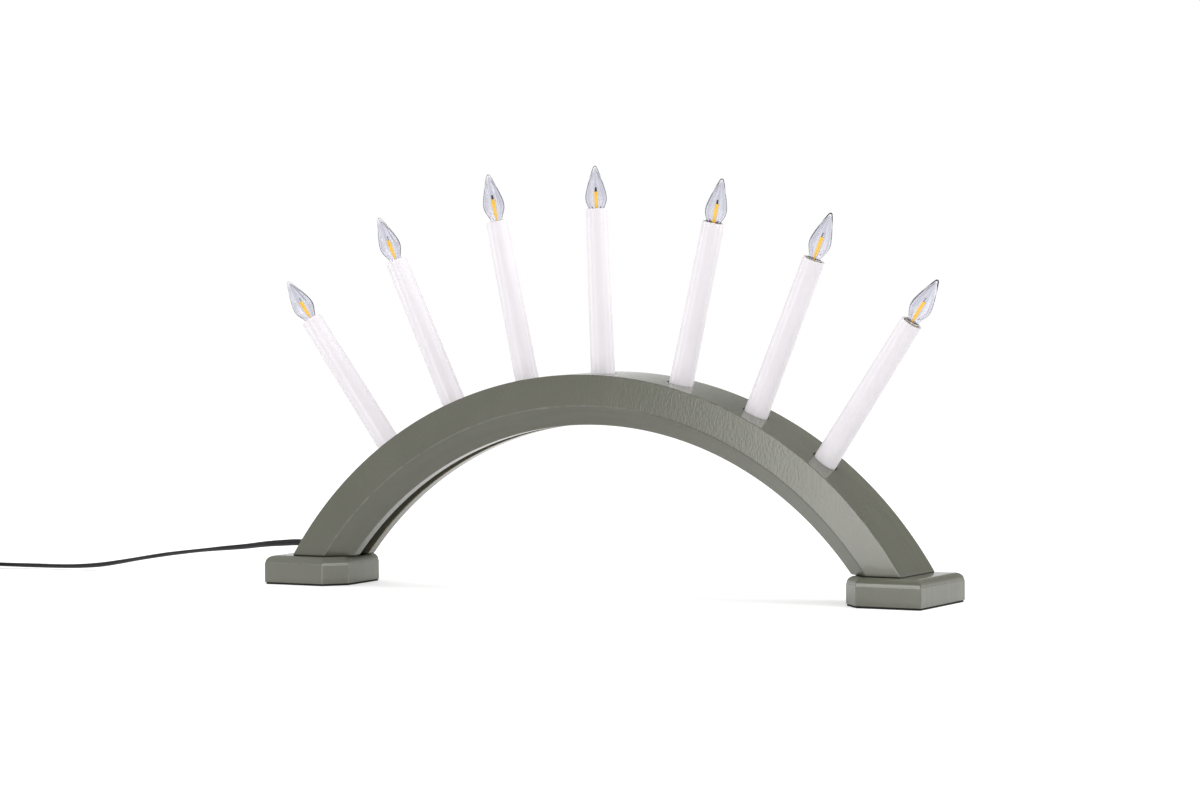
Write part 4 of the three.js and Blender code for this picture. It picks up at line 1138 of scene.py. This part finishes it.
phosphor = phosphor_finish()
lamp_wire = plain_finish(
    "lamp_wire", tone=(700, 3), colours=((0.42, 0.3, 0.27), (0.58, 0.44, 0.4)),
    rough=0.45, metallic=0.6)
print("finishes:", phosphor.name, lamp_wire.name)

# %% Filaments and their wires
STICK_RADIUS, STICK_LENGTH, STICK_FOOT, LOW_ROUND, HIGH_ROUND = 0.43, 14.6, 0.3, 0.3, 0.4
STUB = np.array([[0.14, 0], [0.14, 2.3], [0.09, 2.5], [0, 2.55]])
WIRE_RADIUS = 0.09
WIRE_ROUTE = [
    [0, 0, 16.5], [0.5, 0, 16.9], [1.2, 0, 16.8], [1.8, 0, 16.1], [2.1, 0, 14.0], [2.1, 0, 8.0],
    [2.0, 0, 3.0], [1.7, 0, -1.0], [1.5, 0, -3.6]]
bend = np.linspace(0, math.pi / 2, 6)
stick_grid = lathe(np.vstack([
    [[0, -4.0], [STICK_FOOT, -4.0], [STICK_FOOT, -0.4]],
    arc((STICK_RADIUS - LOW_ROUND, LOW_ROUND), (LOW_ROUND, LOW_ROUND), bend - math.pi / 2),
    arc((STICK_RADIUS - HIGH_ROUND, STICK_LENGTH - HIGH_ROUND), (HIGH_ROUND, HIGH_ROUND), bend),
    STUB + [0, STICK_LENGTH],
]), 24)
wire_grid = sweep(smooth(WIRE_ROUTE, 6), WIRE_RADIUS * compass(all_round(10)), (0, 1, 0))
for number in CANDLES:
    stick = solid(f"lamp_{number}_filament", screwed(stick_grid, number))
    height = off_candle(stick, number)[:, 2] - lamp_heights[number - 1]
    paint_masks(stick, stub=height > STICK_LENGTH - 0.2)
    settle(stick, f"lamp_{number}", "phosphor", phosphor, f"lamp_filament_{number}")
    wire = solid(f"lamp_{number}_wire", screwed(wire_grid, number), crease=60)
    settle(wire, f"lamp_{number}", "nickel", lamp_wire)
print("filaments ready")

# %% [markdown]
# ## Wiring in the groove
# Under the arch a thin twin flex runs in the groove from the strain relief to the last holder,
# a little wavy because it is only pressed in. At each candle a twisted pair goes up through the
# small hole to the holder.

# %% Loom
LOOM_WIDTH, LOOM_RADIUS = 3.4, GROOVE_FLOOR - 2.1
LOOM_START = math.acos((RELIEF_HEIGHT + 3.6 - RING_CENTRE) / LOOM_RADIUS)
LOOM_WAVES = ((1.1, 23, 0), (0.5, 61, 1))
LOOM_TWIST, LOOM_TWIST_STEPS, WAVES_IN = 20, 9.0, 8
STRAND_RADIUS, STRAND_OFFSET, STRAND_PITCH, RISER_TOP = 0.55, 0.62, 14.0, 93.6
run_angle = np.linspace(-LOOM_START, HOLE_ANGLES[-1], 150)
wander = sum(size * np.sin(run_angle * waves + late) for size, waves, late in LOOM_WAVES)
run = on_ring(LOOM_RADIUS, run_angle, wander * ease((run_angle + LOOM_START) * WAVES_IN))
entry = [[RELIEF_INNER + out, 0, RELIEF_HEIGHT] for out in (0.3, 4.0)]
run = np.vstack([smooth([*entry, run[0], run[4]], 10)[:20], run])
run_turn = np.radians(LOOM_TWIST * np.sin(np.arange(len(run)) / LOOM_TWIST_STEPS))
loom_grids = [sweep(run, twisted(twin_outline(LOOM_WIDTH, 24), run_turn), (0, 1, 0))]
strand_outline = STRAND_RADIUS * compass(all_round(8))
for number, tip in zip(CANDLES, CANDLE_LEANS):
    depth = (LEDGE - LOOM_RADIUS) / math.cos(tip)
    height = np.linspace(-depth, RISER_TOP, 60)
    for half in (0, math.pi):
        aside = STRAND_OFFSET * compass(math.tau * height / STRAND_PITCH + half)
        strand = sweep(np.column_stack([aside, height]), strand_outline, (1, 0, 0))
        loom_grids.append(on_candle(strand, number))
loom = solid("groove_wiring", loom_grids, crease=60)
settle(loom, STAND, "black_flex", black_flex, "wiring_loom")
print("wires in the loom:", len(loom_grids))

# %% [markdown]
# ## Hidden metal
# The screws in the feet and the sprung contacts in the holders keep their solids. They only get
# real finishes: zinc with a faint yellow cast, and brass with darker, handled patches.

# %% Screws and contacts
zinc_steel = plain_finish(
    "zinc_steel", tone=(260, 3), colours=((0.42, 0.42, 0.4), (0.56, 0.56, 0.53)),
    rough=(0.3, 0.45), metallic=1.0)
contact_brass = plain_finish(
    "contact_brass", tone=(420, 3), colours=((0.4, 0.27, 0.09), (0.6, 0.43, 0.16)),
    rough=(0.25, 0.45), metallic=1.0)
for name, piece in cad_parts.items():
    for start, finish in (("foot_screw", zinc_steel), ("holder_contact", contact_brass)):
        if name.startswith(start):
            coat(piece, finish)
print("hidden metal ready")

# %% [markdown]
# ## Stage and light
# A pale floor, an even white surround and soft lamps. The camera sees the surround as white.
# Mirrors and glass see it white near the floor and greyer higher up, and the light that falls on
# the object comes from a softer grey level, so that a colour renders about as it is written. The
# lamps light without being mirrored, except a low one, whose sheen fades over the front of the
# arch, and four tall ones that draw thin lines down the sleeves.

# %% Floor
FLOOR_HALF, FLOOR_COLOUR = 7.0, (0.82, 0.82, 0.82, 1)
FLOOR_GLOW, MIRRORED_GLOW = 0.33, 0.12
WHITE = (1, 1, 1, 1)


def seen_directly(graph, *rays):
    """1 for the named kinds of ray, else 0."""
    path = node(graph, "LightPath")
    found, *others = (path.outputs[f"Is {ray} Ray"] for ray in rays)
    for other in others:
        found = node(graph, "Math", {0: found, 1: other}, operation="MAXIMUM").outputs[0]
    return found


floor_mesh = bpy.data.meshes.new("floor")
signs = ((-1, -1), (1, -1), (1, 1), (-1, 1))
floor_corners = [(FLOOR_HALF * x, FLOOR_HALF * y, 0) for x, y in signs]
floor_mesh.from_pydata(floor_corners, [], [(0, 1, 2, 3)])
floor = bpy.data.objects.new("floor", floor_mesh)
scene.collection.objects.link(floor)
pale, graph, output, at = new_finish("pale_floor")
seen = seen_directly(graph, "Camera", "Transmission")
mirror = between(graph, seen_directly(graph, "Glossy"), 0.0, MIRRORED_GLOW)
strength = node(graph, "Mix", {0: seen, 2: mirror, 3: FLOOR_GLOW}).outputs[0]
matt = node(graph, "BsdfDiffuse", {"Color": FLOOR_COLOUR})
glow = node(graph, "Emission", {"Color": WHITE, "Strength": strength})
both = node(graph, "AddShader", {0: matt.outputs[0], 1: glow.outputs[0]})
graph.links.new(both.outputs[0], output.inputs["Surface"])
floor_mesh.materials.append(pale)
print("floor ready")

# %% Surround
SURROUND = 0.84
MIRRORED_TOP, THROUGH_TOP, FADE = 0.27, 0.6, (0.06, 0.34)
world = bpy.data.worlds.new("surround")
scene.world = world
world.use_nodes = True
graph = world.node_tree
graph.nodes.clear()
upwards = node(graph, "SeparateXYZ", {0: node(graph, "TexCoord").outputs["Generated"]}).outputs["Z"]
mirrored = between(graph, upwards, 1.0, MIRRORED_TOP, *FADE)
through = between(graph, upwards, 1.0, THROUGH_TOP, *FADE)
level = SURROUND
for ray, seen in (("Glossy", mirrored), ("Transmission", through), ("Camera", 1.0)):
    level = node(graph, "Mix", {0: seen_directly(graph, ray), 2: level, 3: seen}).outputs[0]
light = node(graph, "Background", {"Color": WHITE, "Strength": level})
node(graph, "OutputWorld", {"Surface": light.outputs[0]})
print("surround ready")

# %% Lamps of the studio
HIGH, LOW = (0, 0, 0.3), (0, 0, 0.1)
LINE_TALL, LINE_WATTS = 2.05, 13.0
LINES = ((-0.6, -1.91, 0.6), (1.97, -0.37, 0.6), (-1.85, -0.78, 0.8), (1.66, 1.12, 0.7))


def softbox(name, place, target, wide, tall, watts, only=None, matt=True, gloss=False):
    """A rectangle of light at a place, turned towards a target. It can light only one collection
    of pieces, and only their matt or their glossy part."""
    light = bpy.data.lights.new(name, "AREA")
    light.shape, light.size, light.size_y, light.energy = "RECTANGLE", wide, tall, watts
    lamp = bpy.data.objects.new(name, light)
    away = unit(np.array(place, float) - np.array(target, float))
    stand_at(lamp, unit(np.cross([0, 0, 1], away)), away, place)
    lamp.visible_camera = False
    lamp.visible_diffuse = matt
    lamp.visible_glossy = gloss
    if only:
        lamp.light_linking.receiver_collection = only
    return lamp


def gathered(name, pieces):
    """A collection of pieces, for lamps that light only these."""
    collection = bpy.data.collections.new(name)
    for piece in pieces:
        collection.objects.link(bpy.data.objects[piece])
    return collection


painted = gathered("painted", ("arch_body", "foot_left_block", "foot_right_block"))
sleeves = gathered("sleeves", [f"candle_{number}_sleeve" for number in CANDLES])
front = softbox(
    "front_low", (0.1, -0.25, 0.075), (0.1, 0, 0.075), 0.42, 0.142, 0.72, painted,
    matt=False, gloss=True)
front.data.use_nodes = True
graph = front.data.node_tree
on_lamp = node(graph, "NewGeometry").outputs["Parametric"]
across = node(graph, "SeparateXYZ", {0: on_lamp}).outputs["X"]
span = {"Value": across, "From Min": 0.0, "From Max": 0.5}
fade = node(graph, "MapRange", span, interpolation_type="SMOOTHSTEP").outputs["Result"]
graph.links.new(fade, graph.nodes["Emission"].inputs["Strength"])
softbox("left_front", (-0.64, -1.9, 1.1), HIGH, 0.4, 2.2, 6.5)
softbox("right_front", (1.75, -1.05, 0.75), LOW, 0.6, 1.2, 2.0, painted)
softbox("left_side", (-1.95, -0.43, 1.1), HIGH, 0.6, 2.2, 7.5)
softbox("right_side", (1.43, 1.4, 1.1), HIGH, 0.6, 2.2, 4.5, painted)
softbox("top", (0.7, 0.3, 1.6), (0.1, 0, 0.1), 1.0, 1.0, 14.0)
softbox("sleeve_fill", (1.85, -0.85, 0.9), (0, 0, 0.2), 0.8, 1.6, 1.6, sleeves)
for number, (x, y, wide) in enumerate(LINES):
    place, target = (x, y, LINE_TALL / 2), (0, 0, LINE_TALL / 2)
    watts = LINE_WATTS * wide
    softbox(f"line_{number}", place, target, wide, LINE_TALL, watts, sleeves, matt=False, gloss=True)
print("lamps ready")
